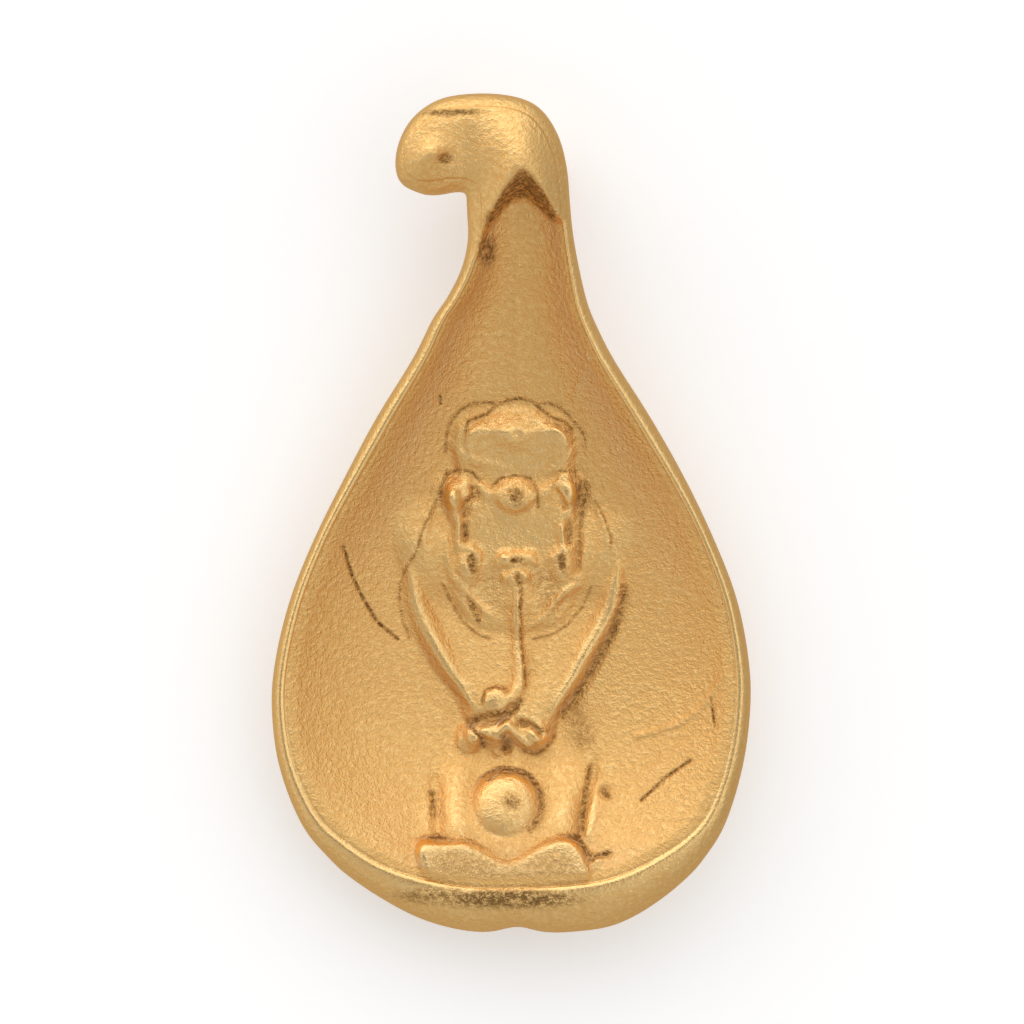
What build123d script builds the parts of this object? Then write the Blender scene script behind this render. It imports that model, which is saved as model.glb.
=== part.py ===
from build123d import *
import os
import numpy as np

# A leaf-shaped gold pendant that lies on its back, in millimetres. The leaf's tip points
# to +Y, its open front faces +Z, and z = 0 is the surface that the belly and the bail rest on.

# Driving sizes of the leaf
leaf_length = 12.0          # top of the curled tip to the lowest edge
leaf_width = 6.87           # across the widest place of the bowl
leaf_wall = 0.45            # metal between the bowl's floor and its back
bowl_depth = 1.0            # floor to the polished edge, at the deepest place
rim_band = 0.07             # width of the polished edge round the bowl
rim_step = 0.04             # drop from the polished edge to the matt floor
rim_wall = 0.12             # how far the outer wall stands out beyond the edge at the sides
foot_wall = 0.55            # how far the outer wall stands out beyond the edge at the foot
foot_notch = 0.08           # depth of the dent in the middle of the foot's outline
foot_notch_width = 0.5
back_turn = 0.3             # how far inside the edge the outer wall has turned into the back

# Driving sizes of the curled tip
curl_rise = 0.15            # how far the curl's middle stands over its edge
curl_round = 0.4            # width over which the curl's edge rounds up
curl_swell = 0.27           # height of the curl's largest swelling, unit of its forms
tip_round = 0.07            # how far the curl's end bulges

# Driving sizes of the seated animal
figure_length = 7.0         # top of the crest to the base
figure_width = 3.8          # across the wing tips
figure_rise = 0.715         # bowl floor to the highest form, the ball under the paws
figure_x = 0.06             # the animal's axis beside the leaf's
figure_y = -1.88            # half-way between crest and base
ball_diameter = 1.02        # the ball under the paws
pearl_diameter = 0.42       # the small ball at the end of the hanging strand

# Driving sizes of the bail that the neck hides
bail_bore = 0.9             # diameter of the hole for a chain
bail_wall = 0.25            # metal round that hole
bail_width = 0.9            # along the hole
bail_edge = 0.08            # rounding of the bail's ends
bail_x = 0.12
bail_along = 0.79           # place behind the neck, in shares of the half length
saddle_length = 0.6         # pad between the bail and the neck, along the leaf
solder_gap = 0.05           # gap between the pad and the neck

# How finely the faceted casting is cut
relief_pitch = 0.135        # between columns, and between rows, over the animal
curl_pitch = 0.15           # between rows in the curl
relief_sample = 0.05        # between the places at which the relief is tried
relief_smooth = 0.06        # how far it is smoothed
side_columns = (0.0, 0.015, 0.036, 0.065, 0.1, 0.145)   # from the grid's side, in leaf_width
band_loops = (0.0, 1.0)     # loops on the polished edge, in widths of the rim band
grid_start = 3.0            # where the grid of the bowl starts, in widths of the rim band

half_length = leaf_length / 2
half_width = leaf_width / 2
bail_radius = bail_bore / 2 + bail_wall
bail_y = bail_along * half_length
saddle_top = 2 * bail_radius
neck_back = saddle_top + solder_gap

# The outline, from the foot up: where each section ends on the left and on the right.
# Columns: left x, left y, right x, right y, in shares of the half width and half length.
# The last rows fan round the inner corner of the curl and end at its tip.
OUTLINE = np.array([
    (-0.725, -0.847, 0.779, -0.847),
    (-0.867, -0.752, 0.888, -0.752),
    (-0.967, -0.609, 0.967, -0.609),
    (-1.000, -0.465, 1.000, -0.465),
    (-0.983, -0.346, 0.992, -0.346),
    (-0.921, -0.203, 0.942, -0.203),
    (-0.821, -0.060, 0.846, -0.060),
    (-0.696, 0.084, 0.725, 0.084),
    (-0.562, 0.227, 0.583, 0.227),
    (-0.408, 0.370, 0.425, 0.370),
    (-0.325, 0.465, 0.342, 0.465),
    (-0.267, 0.513, 0.312, 0.513),
    (-0.204, 0.585, 0.283, 0.585),
    (-0.177, 0.656, 0.260, 0.656),
    (-0.180, 0.704, 0.250, 0.704),
    (-0.183, 0.745, 0.243, 0.750),
    (-0.183, 0.757, 0.232, 0.822),
    (-0.186, 0.763, 0.196, 0.900),
    (-0.196, 0.766, 0.122, 0.964),
    (-0.214, 0.767, 0.020, 0.992),
    (-0.240, 0.766, -0.130, 1.000),
    (-0.275, 0.762, -0.290, 0.988),
    (-0.312, 0.759, -0.400, 0.948),
    (-0.350, 0.759, -0.460, 0.895),
    (-0.385, 0.763, -0.483, 0.840),
    (-0.418, 0.774, -0.478, 0.806),
])

# The foot's edge, between the two ends of the first section. Columns: across from -1 to 1,
# outline y in shares of the half length, edge's distance from it in shares of foot_wall.
FOOT = np.array([
    (-1.00, -0.847, 0.38),
    (-0.90, -0.880, 0.46),
    (-0.78, -0.914, 0.58),
    (-0.55, -0.966, 0.84),
    (-0.28, -0.997, 0.98),
    (0.00, -1.000, 1.00),
    (0.30, -0.999, 1.05),
    (0.55, -0.981, 1.02),
    (0.80, -0.921, 0.80),
    (0.90, -0.887, 0.68),
    (1.00, -0.847, 0.52),
])

# Heights along the leaf. Columns: along in shares of the half length, back in shares of
# neck_back, metal in shares of leaf_wall, the edge's rise over the floor in shares of
# bowl_depth, and how much of the floor's own rise the back follows.
DEPTHS = np.array([
    (-1.00, 0.32, 1.30, 0.57, 0.70),
    (-0.90, 0.26, 1.20, 0.63, 0.70),
    (-0.80, 0.20, 1.10, 0.72, 0.70),
    (-0.62, 0.10, 1.00, 0.87, 0.70),
    (-0.45, 0.03, 1.00, 0.96, 0.70),
    (-0.25, 0.00, 0.98, 1.01, 0.70),
    (-0.05, 0.01, 1.00, 0.99, 0.70),
    (0.15, 0.12, 1.00, 0.91, 0.70),
    (0.37, 0.36, 0.95, 0.75, 0.60),
    (0.50, 0.55, 0.88, 0.63, 0.30),
    (0.60, 0.74, 0.82, 0.51, 0.10),
    (0.70, 0.92, 0.80, 0.43, 0.00),
    (0.76, 1.00, 0.87, 0.40, 0.00),
    (1.00, 1.00, 1.22, 0.40, 0.00),
])
side_power = 2.8            # how late the floor turns up into the walls at the sides
foot_power = 2.6            # and at the foot
foot_reach = 2.8            # length over which it turns up at the foot

# How far the outer wall stands out along the leaf. Columns: along in shares of the half
# length, then left and right in shares of rim_wall.
SIDES = np.array([
    (-0.85, 1.6, 1.6),
    (-0.60, 1.1, 1.3),
    (-0.30, 0.9, 1.05),
    (0.00, 0.9, 1.0),
    (0.20, 1.3, 1.4),
    (0.45, 1.2, 1.3),
    (0.60, 1.1, 0.9),
    (0.75, 1.3, 0.8),
    (1.00, 1.3, 1.3),
])

# The outer wall below the edge. Columns: in_wall, then the fall from the edge to the back,
# from 0 to 1, at the sides and at the foot.
WALL = [
    (0.45, 0.10, 0.14),
    (0.00, 0.40, 0.55),
    (0.15, 0.72, 0.80),
]

# The curl's forms, in shares of the half width and half length. The hood's columns: across,
# then along where the neck's floor ends and where the hood's round face starts.
HOOD = np.array([
    (-0.139, 0.599, 0.627),
    (-0.100, 0.671, 0.711),
    (-0.067, 0.694, 0.735),
    (-0.037, 0.718, 0.764),
    (-0.004, 0.733, 0.795),
    (0.030, 0.740, 0.819),
    (0.050, 0.740, 0.826),
    (0.080, 0.735, 0.814),
    (0.120, 0.718, 0.783),
    (0.163, 0.694, 0.747),
    (0.187, 0.685, 0.718),
    (0.212, 0.689, 0.702),
])
CURL_FORMS = np.array([
    # across, along, half length, half width, turn, height
    (0.065, 0.885, 0.24, 0.15, 100, 1.00),
    (-0.055, 0.765, 0.17, 0.055, 62, 0.42),
    (-0.135, 0.630, 0.16, 0.045, 76, 0.25),
    (0.165, 0.760, 0.18, 0.060, 105, 0.22),
    (-0.205, 0.835, 0.15, 0.110, 80, -0.55),
    (-0.120, 0.880, 0.11, 0.050, 80, -0.18),
    (-0.250, 0.968, 0.13, 0.020, 0, 0.10),
    (-0.250, 0.949, 0.11, 0.014, 4, -0.30),
    (-0.335, 0.862, 0.045, 0.040, 0, 0.42),
    (-0.275, 0.845, 0.022, 0.020, 0, -0.30),
])

# The seated animal. Across counts in 266ths of figure_width from its axis, along in 490ths of
# figure_length from its middle, and heights in 50ths of figure_rise over the bowl's floor.
# Masses. Columns: edge, over which the mass rounds off, then heights along it as pairs of
# along and height, then its outline as pairs of across and along.
MASSES = [
    # wings and shoulders
    (40, [(30, 8), (60, 12), (105, 11), (140, 6), (172, 0)],
     [(-40, 172), (-92, 172), (-114, 162), (-128, 136), (-130, 104), (-122, 70), (-108, 30),
      (-40, 30)]),
    (40, [(30, 8), (60, 12), (100, 10), (130, 5), (158, 0)],
     [(40, 160), (92, 156), (114, 150), (128, 126), (126, 100), (120, 66), (104, 30), (40, 30)]),
    # chest and forelegs
    (20, [(-118, 13), (-100, 20), (-78, 22), (-60, 21), (-30, 18), (0, 15), (30, 12), (60, 10),
          (90, 7), (104, 4)],
     [(-116, 70), (-112, 84), (-98, 96), (-60, 110), (60, 110), (96, 96), (110, 72), (108, 44),
      (98, 8), (84, -20), (68, -46), (54, -64), (44, -84), (41, -100), (32, -116), (14, -116),
      (4, -104), (-12, -112), (-30, -112), (-42, -114), (-56, -104), (-58, -90), (-54, -76),
      (-66, -50), (-86, -28), (-101, -4), (-112, 26), (-117, 48)]),
    # shins and haunches
    (16, [(-215, 18), (-190, 18), (-160, 15), (-130, 9), (-104, 1)],
     [(-40, -100), (-66, -108), (-74, -128), (-76, -160), (-74, -196), (-60, -215), (60, -215),
      (68, -196), (68, -176), (72, -156), (80, -138), (82, -118), (60, -104), (30, -100)]),
    (14, [(-200, 9), (-150, 8), (-120, 4)],
     [(60, -120), (82, -126), (92, -150), (90, -180), (84, -205), (60, -205)]),
    (16, [(-205, 8), (-150, 5), (-120, 2)],
     [(-70, -124), (-88, -130), (-100, -150), (-103, -176), (-98, -205), (-70, -205)]),
    # the two lobes that it sits on
    (9, [(-243, 2), (-230, 9), (-214, 18), (-200, 24), (-188, 26)],
     [(-100, -196), (-88, -190), (-74, -195), (-60, -194), (-46, -195), (-34, -200),
      (-20, -209), (-7, -215), (-4, -240), (-50, -240), (-82, -230), (-98, -212)]),
    (9, [(-243, 2), (-230, 9), (-214, 19), (-200, 26), (-186, 28)],
     [(-8, -217), (4, -208), (14, -202), (24, -196), (36, -191), (52, -190), (64, -196),
      (70, -214), (68, -234), (40, -241), (-8, -241)]),
    (10, [(-240, 2), (-226, 6), (-205, 10)],
     [(60, -206), (84, -206), (96, -214), (88, -228), (60, -238)]),
    # the crest's shell
    (15, [(150, 15), (176, 16), (200, 17), (222, 14), (242, 7)],
     [(-58, 150), (-66, 190), (-69, 204), (-65, 222), (-54, 233), (-38, 240), (-16, 241),
      (0, 237), (20, 241), (40, 240), (50, 232), (60, 221), (66, 207), (64, 190), (58, 150)]),
    # the ingot on it
    (8, [(160, 15), (176, 17), (190, 19), (206, 21), (214, 22), (226, 19), (236, 15),
         (246, 9)],
     [(-54, 214), (-48, 222), (-38, 227), (-28, 229), (-20, 235), (-12, 241), (0, 244),
      (12, 242), (21, 236), (29, 229), (40, 224), (50, 220), (57, 210), (60, 198), (52, 186),
      (40, 160), (-40, 160), (-50, 186), (-57, 200)]),
    # the cheeks and jowls
    (14, [(4, 18), (20, 20), (40, 21), (60, 20), (100, 16), (140, 13), (170, 8)],
     [(-60, 170), (-74, 140), (-78, 120), (-76, 100), (-74, 80), (-76, 62), (-72, 50),
      (-60, 30), (-50, 18), (-40, 10), (-28, 7), (0, 4), (20, 6), (40, 9), (48, 13), (58, 28),
      (66, 45), (72, 62), (74, 80), (76, 100), (77, 120), (74, 140), (60, 170)]),
    # the face
    (12, [(18, 22), (40, 23), (60, 23), (80, 22), (100, 21), (130, 21), (150, 20), (160, 19),
          (172, 17)],
     [(-56, 173), (-70, 167), (-77, 150), (-76, 135), (-72, 120), (-70, 100), (-70, 80),
      (-66, 64), (-48, 49), (-32, 33), (-15, 27), (0, 24), (18, 21), (29, 24), (41, 40),
      (54, 54), (62, 64), (64, 80), (65, 120), (66, 140), (68, 160), (60, 170), (45, 174)]),
]
mass_blend = 4.0
ball_blend = 1.5

# Forms that are added to the masses, or sunk where the height is negative.
# Columns: kind, profile, height, then points.
# An oval's point: across, along, half width, half length. A line's: across, along, radius.
CREST = [
    ("oval", "soft", 13, (-3, 217, 26, 32)),
    ("line", "soft", 2.5, (-46, 208, 3), (-34, 214, 10), (-16, 214, 10), (-4, 213, 4)),
    ("line", "soft", 2.0, (10, 212, 4), (26, 214, 9), (46, 213, 8), (56, 206, 3)),
    ("oval", "soft", -3, (2, 211, 5, 5)),
    ("line", "soft", -2, (-55, 212, 3), (-48, 222, 3), (-38, 227, 3), (-28, 229, 3),
     (-20, 236, 3), (-10, 243, 3), (0, 246, 3), (12, 244, 3), (22, 237, 3), (30, 229, 3),
     (41, 224, 3), (50, 219, 3), (56, 210, 3)),
    ("line", "soft", 2, (-70, 210, 2), (-60, 196, 6), (-42, 184, 7), (-20, 179, 5), (-4, 178, 2)),
    ("line", "soft", 2, (67, 206, 2), (52, 186, 5), (42, 176, 6), (30, 170, 2)),
]
BROW = [
    ("oval", "dome", 9, (-57, 154, 20, 20)),
    ("line", "soft", 4, (-62, 146, 12), (-60, 128, 9)),
    ("oval", "dome", 8, (53, 157, 16, 18)),
    ("oval", "dome", 12, (0, 150, 21, 20)),
    ("line", "soft", 3, (-36, 156, 10), (-24, 150, 10)),
    ("line", "soft", 3, (24, 150, 10), (36, 157, 9)),
    ("line", "soft", -6, (-42, 157, 6), (-40, 149, 6), (-49, 140, 6), (-50, 130, 5)),
    ("line", "soft", -5, (40, 156, 5), (46, 146, 5), (50, 136, 4)),
    ("oval", "soft", -3, (1, 145, 8, 8)),
]
FACE = [
    ("line", "soft", 4, (-57, 130, 2), (-57, 120, 6), (-58, 104, 6), (-58, 95, 2)),
    ("line", "soft", -4, (-50, 121, 4), (-50, 106, 4)),
    ("line", "soft", 3.5, (45, 126, 2), (46, 117, 6), (48, 102, 6), (49, 94, 2)),
    ("line", "soft", -4, (54, 124, 4), (53, 104, 4)),
    ("oval", "soft", 7, (-47, 78, 20, 26)),
    ("oval", "soft", 6, (49, 78, 18, 25)),
    ("oval", "soft", -3.5, (-44, 84, 7, 12)),
    ("oval", "soft", -3.5, (45, 85, 7, 11)),
    ("line", "soft", 2.5, (-60, 97, 7), (-48, 99, 7), (-37, 90, 7)),
    ("line", "soft", 2.5, (38, 86, 7), (44, 94, 7), (57, 96, 7)),
    ("oval", "soft", -5, (-29, 70, 19, 36)),
    ("oval", "soft", -5, (29, 64, 18, 38)),
    ("line", "soft", 4, (2, 72, 16), (3, 40, 18), (3, 14, 12)),
    ("line", "soft", 7, (-20, 78, 4), (-11, 85, 12), (2, 86, 11), (14, 86, 11), (23, 79, 4)),
    ("oval", "soft", -5, (1, 84, 7, 5)),
    ("line", "soft", 4.5, (-8, 66, 9), (2, 70, 9), (11, 68, 8)),
    ("oval", "soft", -6, (2, 68, 7, 6)),
    ("line", "soft", 3, (-69, 116, 2), (-68, 88, 6), (-64, 68, 6), (-52, 55, 6), (-42, 43, 5),
     (-30, 32, 5), (-20, 25, 2)),
    ("line", "soft", -4, (-48, 46, 5), (-41, 35, 7), (-37, 26, 6)),
    ("line", "soft", 3.5, (71, 112, 2), (69, 84, 5), (64, 60, 6), (50, 52, 6), (38, 39, 6),
     (25, 23, 5), (14, 16, 2)),
    ("line", "soft", -3, (52, 45, 5), (44, 34, 5)),
    ("line", "soft", -5, (66, 160, 6), (63, 130, 6), (63, 100, 5), (62, 72, 5)),
]
STRAND = [
    ("line", "soft", 6, (1, 66, 3), (1, 34, 6), (2, 6, 8), (4, -16, 10), (5, -40, 11),
     (-3, -54, 9), (-12, -59, 6)),
    ("line", "soft", -1.5, (14, -2, 3), (15, -30, 8), (12, -56, 4)),
]
ARMS = [
    ("line", "soft", 5, (-110, 104, 3), (-106, 70, 10), (-100, 42, 12), (-91, 20, 12),
     (-78, -2, 11), (-70, -26, 11), (-52, -54, 10), (-40, -74, 3)),
    ("line", "soft", 5, (103, 96, 3), (101, 66, 10), (98, 42, 12), (88, 16, 12), (75, -8, 11),
     (62, -34, 10), (42, -66, 8), (33, -86, 3)),
]
PAWS = [
    ("line", "soft", -8, (-48, -80, 7), (-28, -76, 10), (-12, -73, 9), (0, -63, 6)),
    ("oval", "soft", 8, (-42, -98, 18, 18)),
    ("line", "soft", -6, (-46, -86, 5), (-40, -92, 5), (-32, -98, 5), (-29, -107, 5)),
    ("oval", "soft", 4, (-27, -91, 11, 10)),
    ("line", "soft", 7, (-18, -106, 8), (-15, -92, 8), (-7, -84, 9), (2, -93, 8), (11, -103, 8)),
    ("oval", "soft", -7, (-9, -105, 8, 10)),
    ("oval", "soft", 8, (22, -98, 20, 20)),
    ("line", "soft", -6, (6, -80, 5), (17, -83, 5), (26, -91, 5)),
    ("line", "soft", 5, (2, -108, 22), (4, -132, 14)),
]
HAUNCHES = [
    ("line", "soft", 7, (-58, -102, 7), (-57, -126, 18), (-55, -186, 20), (-55, -208, 9)),
    ("line", "soft", 6, (42, -98, 8), (46, -122, 22), (48, -180, 22), (48, -206, 10)),
    ("line", "soft", -4, (-82, -112, 4), (-82, -134, 12), (-81, -178, 14), (-84, -204, 5)),
    ("line", "soft", -4, (80, -108, 3), (78, -130, 8), (72, -156, 8), (66, -190, 6),
     (66, -206, 3)),
    ("oval", "soft", -4, (91, -152, 9, 9)),
    ("oval", "soft", 3, (43, -215, 5, 4)),
    ("line", "soft", -4, (74, -211, 4), (77, -217, 4)),
    ("line", "soft", -4, (82, -213, 4), (95, -211, 4)),
]
WINGS = [
    ("line", "soft", 2.2, (-67, 178, 3), (-80, 158, 6), (-89, 124, 6), (-93, 90, 3)),
    ("line", "soft", 2.2, (76, 156, 3), (88, 126, 6), (94, 92, 3)),
]
FORMS = CREST + BROW + FACE + STRAND + ARMS + PAWS + HAUNCHES + WINGS

# Balls with a diameter of their own. Columns: across, along, base, rise.
BALL = (-7, -167, 5, 30)
PEARL = (-19, -58, 22, 9)

across_unit = figure_width / 266
along_unit = figure_length / 490
height_unit = figure_rise / 50
last_row = len(OUTLINE) - 1
neck_row = 15               # the section at the inner corner of the curl
foot_rows = 3               # sections over which the foot's curve fades into straight ones
tip_rows = 2                # sections over which the curl's end rounds off


# A smooth curve through the rows of a table
def curve(keys, values, at):
    at = np.clip(at, keys[0], keys[-1])
    slopes = np.gradient(values, keys)
    i = np.clip(np.searchsorted(keys, at, side="right") - 1, 0, len(keys) - 2)
    span = keys[i + 1] - keys[i]
    t = (at - keys[i]) / span
    start = values[i] * (1 + 2 * t) * (1 - t) ** 2 + slopes[i] * span * t * (1 - t) ** 2
    end = values[i + 1] * t * t * (3 - 2 * t) + slopes[i + 1] * span * t * t * (t - 1)
    return start + end


def smooth_step(t):
    t = np.clip(t, 0.0, 1.0)
    return t * t * (3 - 2 * t)


# The higher of two heights, with a soft line where they meet
def soft_max(a, b, softness):
    gap = np.clip(softness - np.abs(a - b), 0, None)
    return np.maximum(a, b) + gap * gap / (4 * softness)


# The distance in plan from points to a line of points
def line_distance(x, y, line):
    nearest = np.full(np.shape(x), np.inf)
    for (x0, y0), (x1, y1) in zip(line[:-1], line[1:]):
        run_x = x1 - x0
        run_y = y1 - y0
        t = ((x - x0) * run_x + (y - y0) * run_y) / (run_x ** 2 + run_y ** 2)
        t = np.clip(t, 0, 1)
        nearest = np.minimum(nearest, np.hypot(x - x0 - t * run_x, y - y0 - t * run_y))
    return nearest


def outline_end(name, row):
    column = ("left x", "left y", "right x", "right y").index(name)
    size = half_width if name.endswith("x") else half_length
    return curve(np.arange(last_row + 1.0), OUTLINE[:, column], row) * size


def depth_share(index, y):
    return curve(DEPTHS[:, 0], DEPTHS[:, index], y / half_length)


def back_height(y):
    return np.maximum(depth_share(1, y) * neck_back, 0)


def floor_height(y):
    return back_height(y) + depth_share(2, y) * leaf_wall


def edge_height(y):
    return floor_height(y) + depth_share(3, y) * bowl_depth


# The polished edge is narrower where the leaf is narrow
def band_width(width):
    return rim_band * np.clip(width / (0.6 * leaf_width), 0.5, 1)


# A point in plan. across runs from -1 at a section's left end to 1 at its right end.
# in_wall goes from 0 at the outline to 1 at the polished edge, and in_bowl is how many
# widths of the rim band the point's line lies inside that edge.
def plan(across, row, in_wall, in_bowl):
    left_x, left_y = outline_end("left x", row), outline_end("left y", row)
    right_x, right_y = outline_end("right x", row), outline_end("right y", row)
    run_x, run_y = right_x - left_x, right_y - left_y
    width = np.hypot(run_x, run_y)
    foot_fade = np.clip(1 - row / foot_rows, 0, 1) ** 2
    inward = in_bowl * band_width(width)
    inward_side = inward * (1 - 0.25 * foot_fade)
    left_wall = rim_wall * in_wall * curve(SIDES[:, 0], SIDES[:, 1], left_y / half_length)
    right_wall = rim_wall * in_wall * curve(SIDES[:, 0], SIDES[:, 2], right_y / half_length)
    left = np.minimum((left_wall + inward_side) / width, 0.25)
    right = np.minimum((right_wall + inward_side) / width, 0.25)
    t = left + (1 - left - right) * (across + 1) / 2
    foot_edge = curve(FOOT[:, 0], FOOT[:, 1], across) - FOOT[0, 1]
    foot_pull = curve(FOOT[:, 0], FOOT[:, 2], across) * foot_wall * in_wall
    foot_inward = inward * (1 - 0.35 * across ** 2)
    notch = foot_notch * np.exp(-(across * width / foot_notch_width) ** 2) * (1 - in_wall)
    tip_fade = np.clip((row - last_row + tip_rows) / tip_rows, 0, 1) ** 2
    tip_inset = rim_wall * in_wall + inward_side
    tip_bulge = (tip_round * (1 - across ** 2) - tip_inset) * tip_fade
    x = left_x + run_x * t - run_y / width * tip_bulge
    y = left_y + run_y * t + run_x / width * tip_bulge
    return x, y + foot_fade * (foot_edge * half_length + foot_pull + foot_inward + notch)


# The polished edge as a closed line in plan, for distances from it
def edge_line():
    rows = np.linspace(0, last_row, 160)
    across = np.linspace(-1, 1, 60)
    left = plan(-1.0, rows, 1, 0)
    right = plan(1.0, rows, 1, 0)
    foot = plan(across[1:-1], 0.0, 1, 0)
    tip = plan(across[6:-6:6], float(last_row), 1, 0)
    xs = np.concatenate([foot[0], right[0], tip[0][::-1], left[0][::-1], foot[0][:1]])
    ys = np.concatenate([foot[1], right[1], tip[1][::-1], left[1][::-1], foot[1][:1]])
    return np.column_stack([xs, ys])


def leaf_width_at(y):
    rows = np.linspace(0, neck_row, 120)
    heights = (outline_end("left y", rows) + outline_end("right y", rows)) / 2
    widths = outline_end("right x", rows) - outline_end("left x", rows) - 2 * rim_wall
    widths = np.concatenate([[widths.max()], widths])
    return np.interp(y, np.concatenate([[-half_length], heights]), widths)


# How far up the bowl's wall a point is: 0 in the middle, 1 at the edge
def wall_share(x, y):
    rows = np.linspace(0, neck_row, 120)
    left_x, left_y = plan(-1.0, rows, 1, 0)
    right_x, right_y = plan(1.0, rows, 1, 0)
    low = np.interp(y, left_y, left_x)
    high = np.interp(y, right_y, right_x)
    side = np.clip(np.abs(2 * (x - low) / (high - low) - 1), 0, 1)
    middle_x, middle_y = plan(np.linspace(-1, 1, 60), 0.0, 1, 0)
    corner = np.searchsorted(rows, foot_rows)
    foot_x = np.concatenate([left_x[corner:0:-1], middle_x, right_x[1:corner]])
    foot_y = np.concatenate([left_y[corner:0:-1], middle_y, right_y[1:corner]])
    foot = np.clip(1 - (y - np.interp(x, foot_x, foot_y)) / foot_reach, 0, 1)
    return 1 - (1 - side ** side_power) * (1 - foot ** foot_power)


# How far a point is from the neck's floor, at 0, to the hood's round face, at 1
def hood_share(x, y):
    across = x / half_width
    low = np.interp(across, HOOD[:, 0], HOOD[:, 1]) * half_length
    high = np.interp(across, HOOD[:, 0], HOOD[:, 2]) * half_length
    return smooth_step((y - low) / (high - low))


# The rounded curl with its swellings and hollows
def curl_height(x, y, edge_distance):
    rounding = 1 - np.clip(1 - edge_distance / curl_round, 0, 1) ** 2
    forms = np.zeros(np.shape(x))
    for across, along, length, width, turn, height in CURL_FORMS:
        aside = x / half_width - across
        ahead = (y - along * half_length) / half_width
        turned = np.radians(turn)
        first = (aside * np.cos(turned) + ahead * np.sin(turned)) / length
        second = (ahead * np.cos(turned) - aside * np.sin(turned)) / width
        forms = forms + height * np.exp(-first ** 2 - second ** 2)
    return edge_height(y) + (curl_rise + curl_swell * forms) * rounding


def leaf_front(x, y, edge_distance):
    edge, floor = edge_height(y), floor_height(y)
    bands = edge_distance / band_width(leaf_width_at(y))
    bowl = floor + (edge - floor) * wall_share(x, y)
    bowl = bowl - rim_step * (1 - smooth_step(bands - 2))
    polished = edge - rim_step / 2 * np.clip(bands, 0, 1) ** 2
    dish = polished + (bowl - polished) * smooth_step((bands - 0.9) / 0.3)
    return dish + (curl_height(x, y, edge_distance) - dish) * hood_share(x, y)


def leaf_back(x, y):
    rise = (edge_height(y) - floor_height(y)) * depth_share(4, y)
    return back_height(y) + rise * wall_share(x, y)


# A closed line of points, evenly spaced and with its corners eased
def smooth_outline(points, pitch):
    line = np.array(points + points[:1], float)
    path = np.concatenate([[0], np.cumsum(np.hypot(*np.diff(line, axis=0).T))])
    count = round(path[-1] / pitch)
    even = np.arange(count) * path[-1] / count
    loop = np.column_stack([np.interp(even, path, line[:, 0]), np.interp(even, path, line[:, 1])])
    weights = (0.1, 0.2, 0.4, 0.2, 0.1)
    return sum(w * np.roll(loop, k - 2, axis=0) for k, w in enumerate(weights))


def inside_loop(x, y, loop):
    inside = np.zeros(x.shape, bool)
    for (x0, y0), (x1, y1) in zip(loop, np.roll(loop, -1, axis=0)):
        if y0 == y1:
            continue
        crossed = (y0 > y) != (y1 > y)
        inside ^= crossed & (x < (x1 - x0) * (y - y0) / (y1 - y0) + x0)
    return inside


# The height of a mass of the animal, in the units of its tables
def mass_height(across, along, edge, heights, outline):
    loop = smooth_outline(outline, 4)
    inside = inside_loop(across, along, loop)
    depth = line_distance(across, along, np.concatenate([loop, loop[:1]])) * inside
    heights = np.array(heights, float)
    shoulder = 1 - (1 - np.clip(depth / edge, 0, 1)) ** 2
    return curve(heights[:, 0], heights[:, 1], along) * shoulder


def form_height(across, along, kind, profile, height, points):
    if kind == "oval":
        u, v, half_u, half_v = points[0]
        near = np.hypot((across - u) / half_u, (along - v) / half_v)
    else:
        near = np.full(across.shape, np.inf)
        thick = np.ones(across.shape)
        for (u, v, radius), (u_end, v_end, radius_end) in zip(points[:-1], points[1:]):
            run_u = u_end - u
            run_v = v_end - v
            t = ((across - u) * run_u + (along - v) * run_v) / (run_u ** 2 + run_v ** 2)
            t = np.clip(t, 0, 1)
            away = np.hypot(across - u - t * run_u, along - v - t * run_v)
            here = radius + (radius_end - radius) * t
            thick = np.where(away / here < near, here, thick)
            near = np.minimum(near, away / here)
        height = height * thick / max(radius for u, v, radius in points)
    room = np.clip(1 - near ** 2, 0, 1)
    return height * (np.sqrt(room) if profile == "dome" else room ** 2)


# The animal's rise over the bowl's floor
def figure_rise_at(x, y):
    across, along = (x - figure_x) / across_unit, (y - figure_y) / along_unit
    total = np.zeros(x.shape)
    for edge, heights, outline in MASSES:
        total = soft_max(total, mass_height(across, along, edge, heights, outline), mass_blend)
    for kind, profile, height, *points in FORMS:
        total = total + form_height(across, along, kind, profile, height, points)
    for (u, v, base, rise), diameter in ((BALL, ball_diameter), (PEARL, pearl_diameter)):
        half = (diameter / 2 / across_unit, diameter / 2 / along_unit)
        ball = form_height(across, along, "oval", "dome", rise, [(u, v) + half])
        level = base + (floor_height(figure_y + v * along_unit) - floor_height(y)) / height_unit
        total = np.where(ball > 0, soft_max(total, level + ball, ball_blend), total)
    return total * height_unit


# The animal's rise over the leaf on an even grid, smoothed to what the facets can show
def relief_map():
    reach_x, reach_y = figure_width * 0.56, figure_length * 0.53
    xs = np.arange(figure_x - reach_x, figure_x + reach_x, relief_sample)
    ys = np.arange(figure_y - reach_y, figure_y + reach_y, relief_sample)
    x, y = np.meshgrid(xs, ys)
    rise = figure_rise_at(x, y)
    offsets = np.arange(-3 * relief_smooth, 3 * relief_smooth, relief_sample)
    weights = np.exp(-(offsets / relief_smooth) ** 2 / 2)
    for axis in (0, 1):
        rise = np.apply_along_axis(np.convolve, axis, rise, weights / weights.sum(), "same")
    return xs, ys, rise


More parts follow.
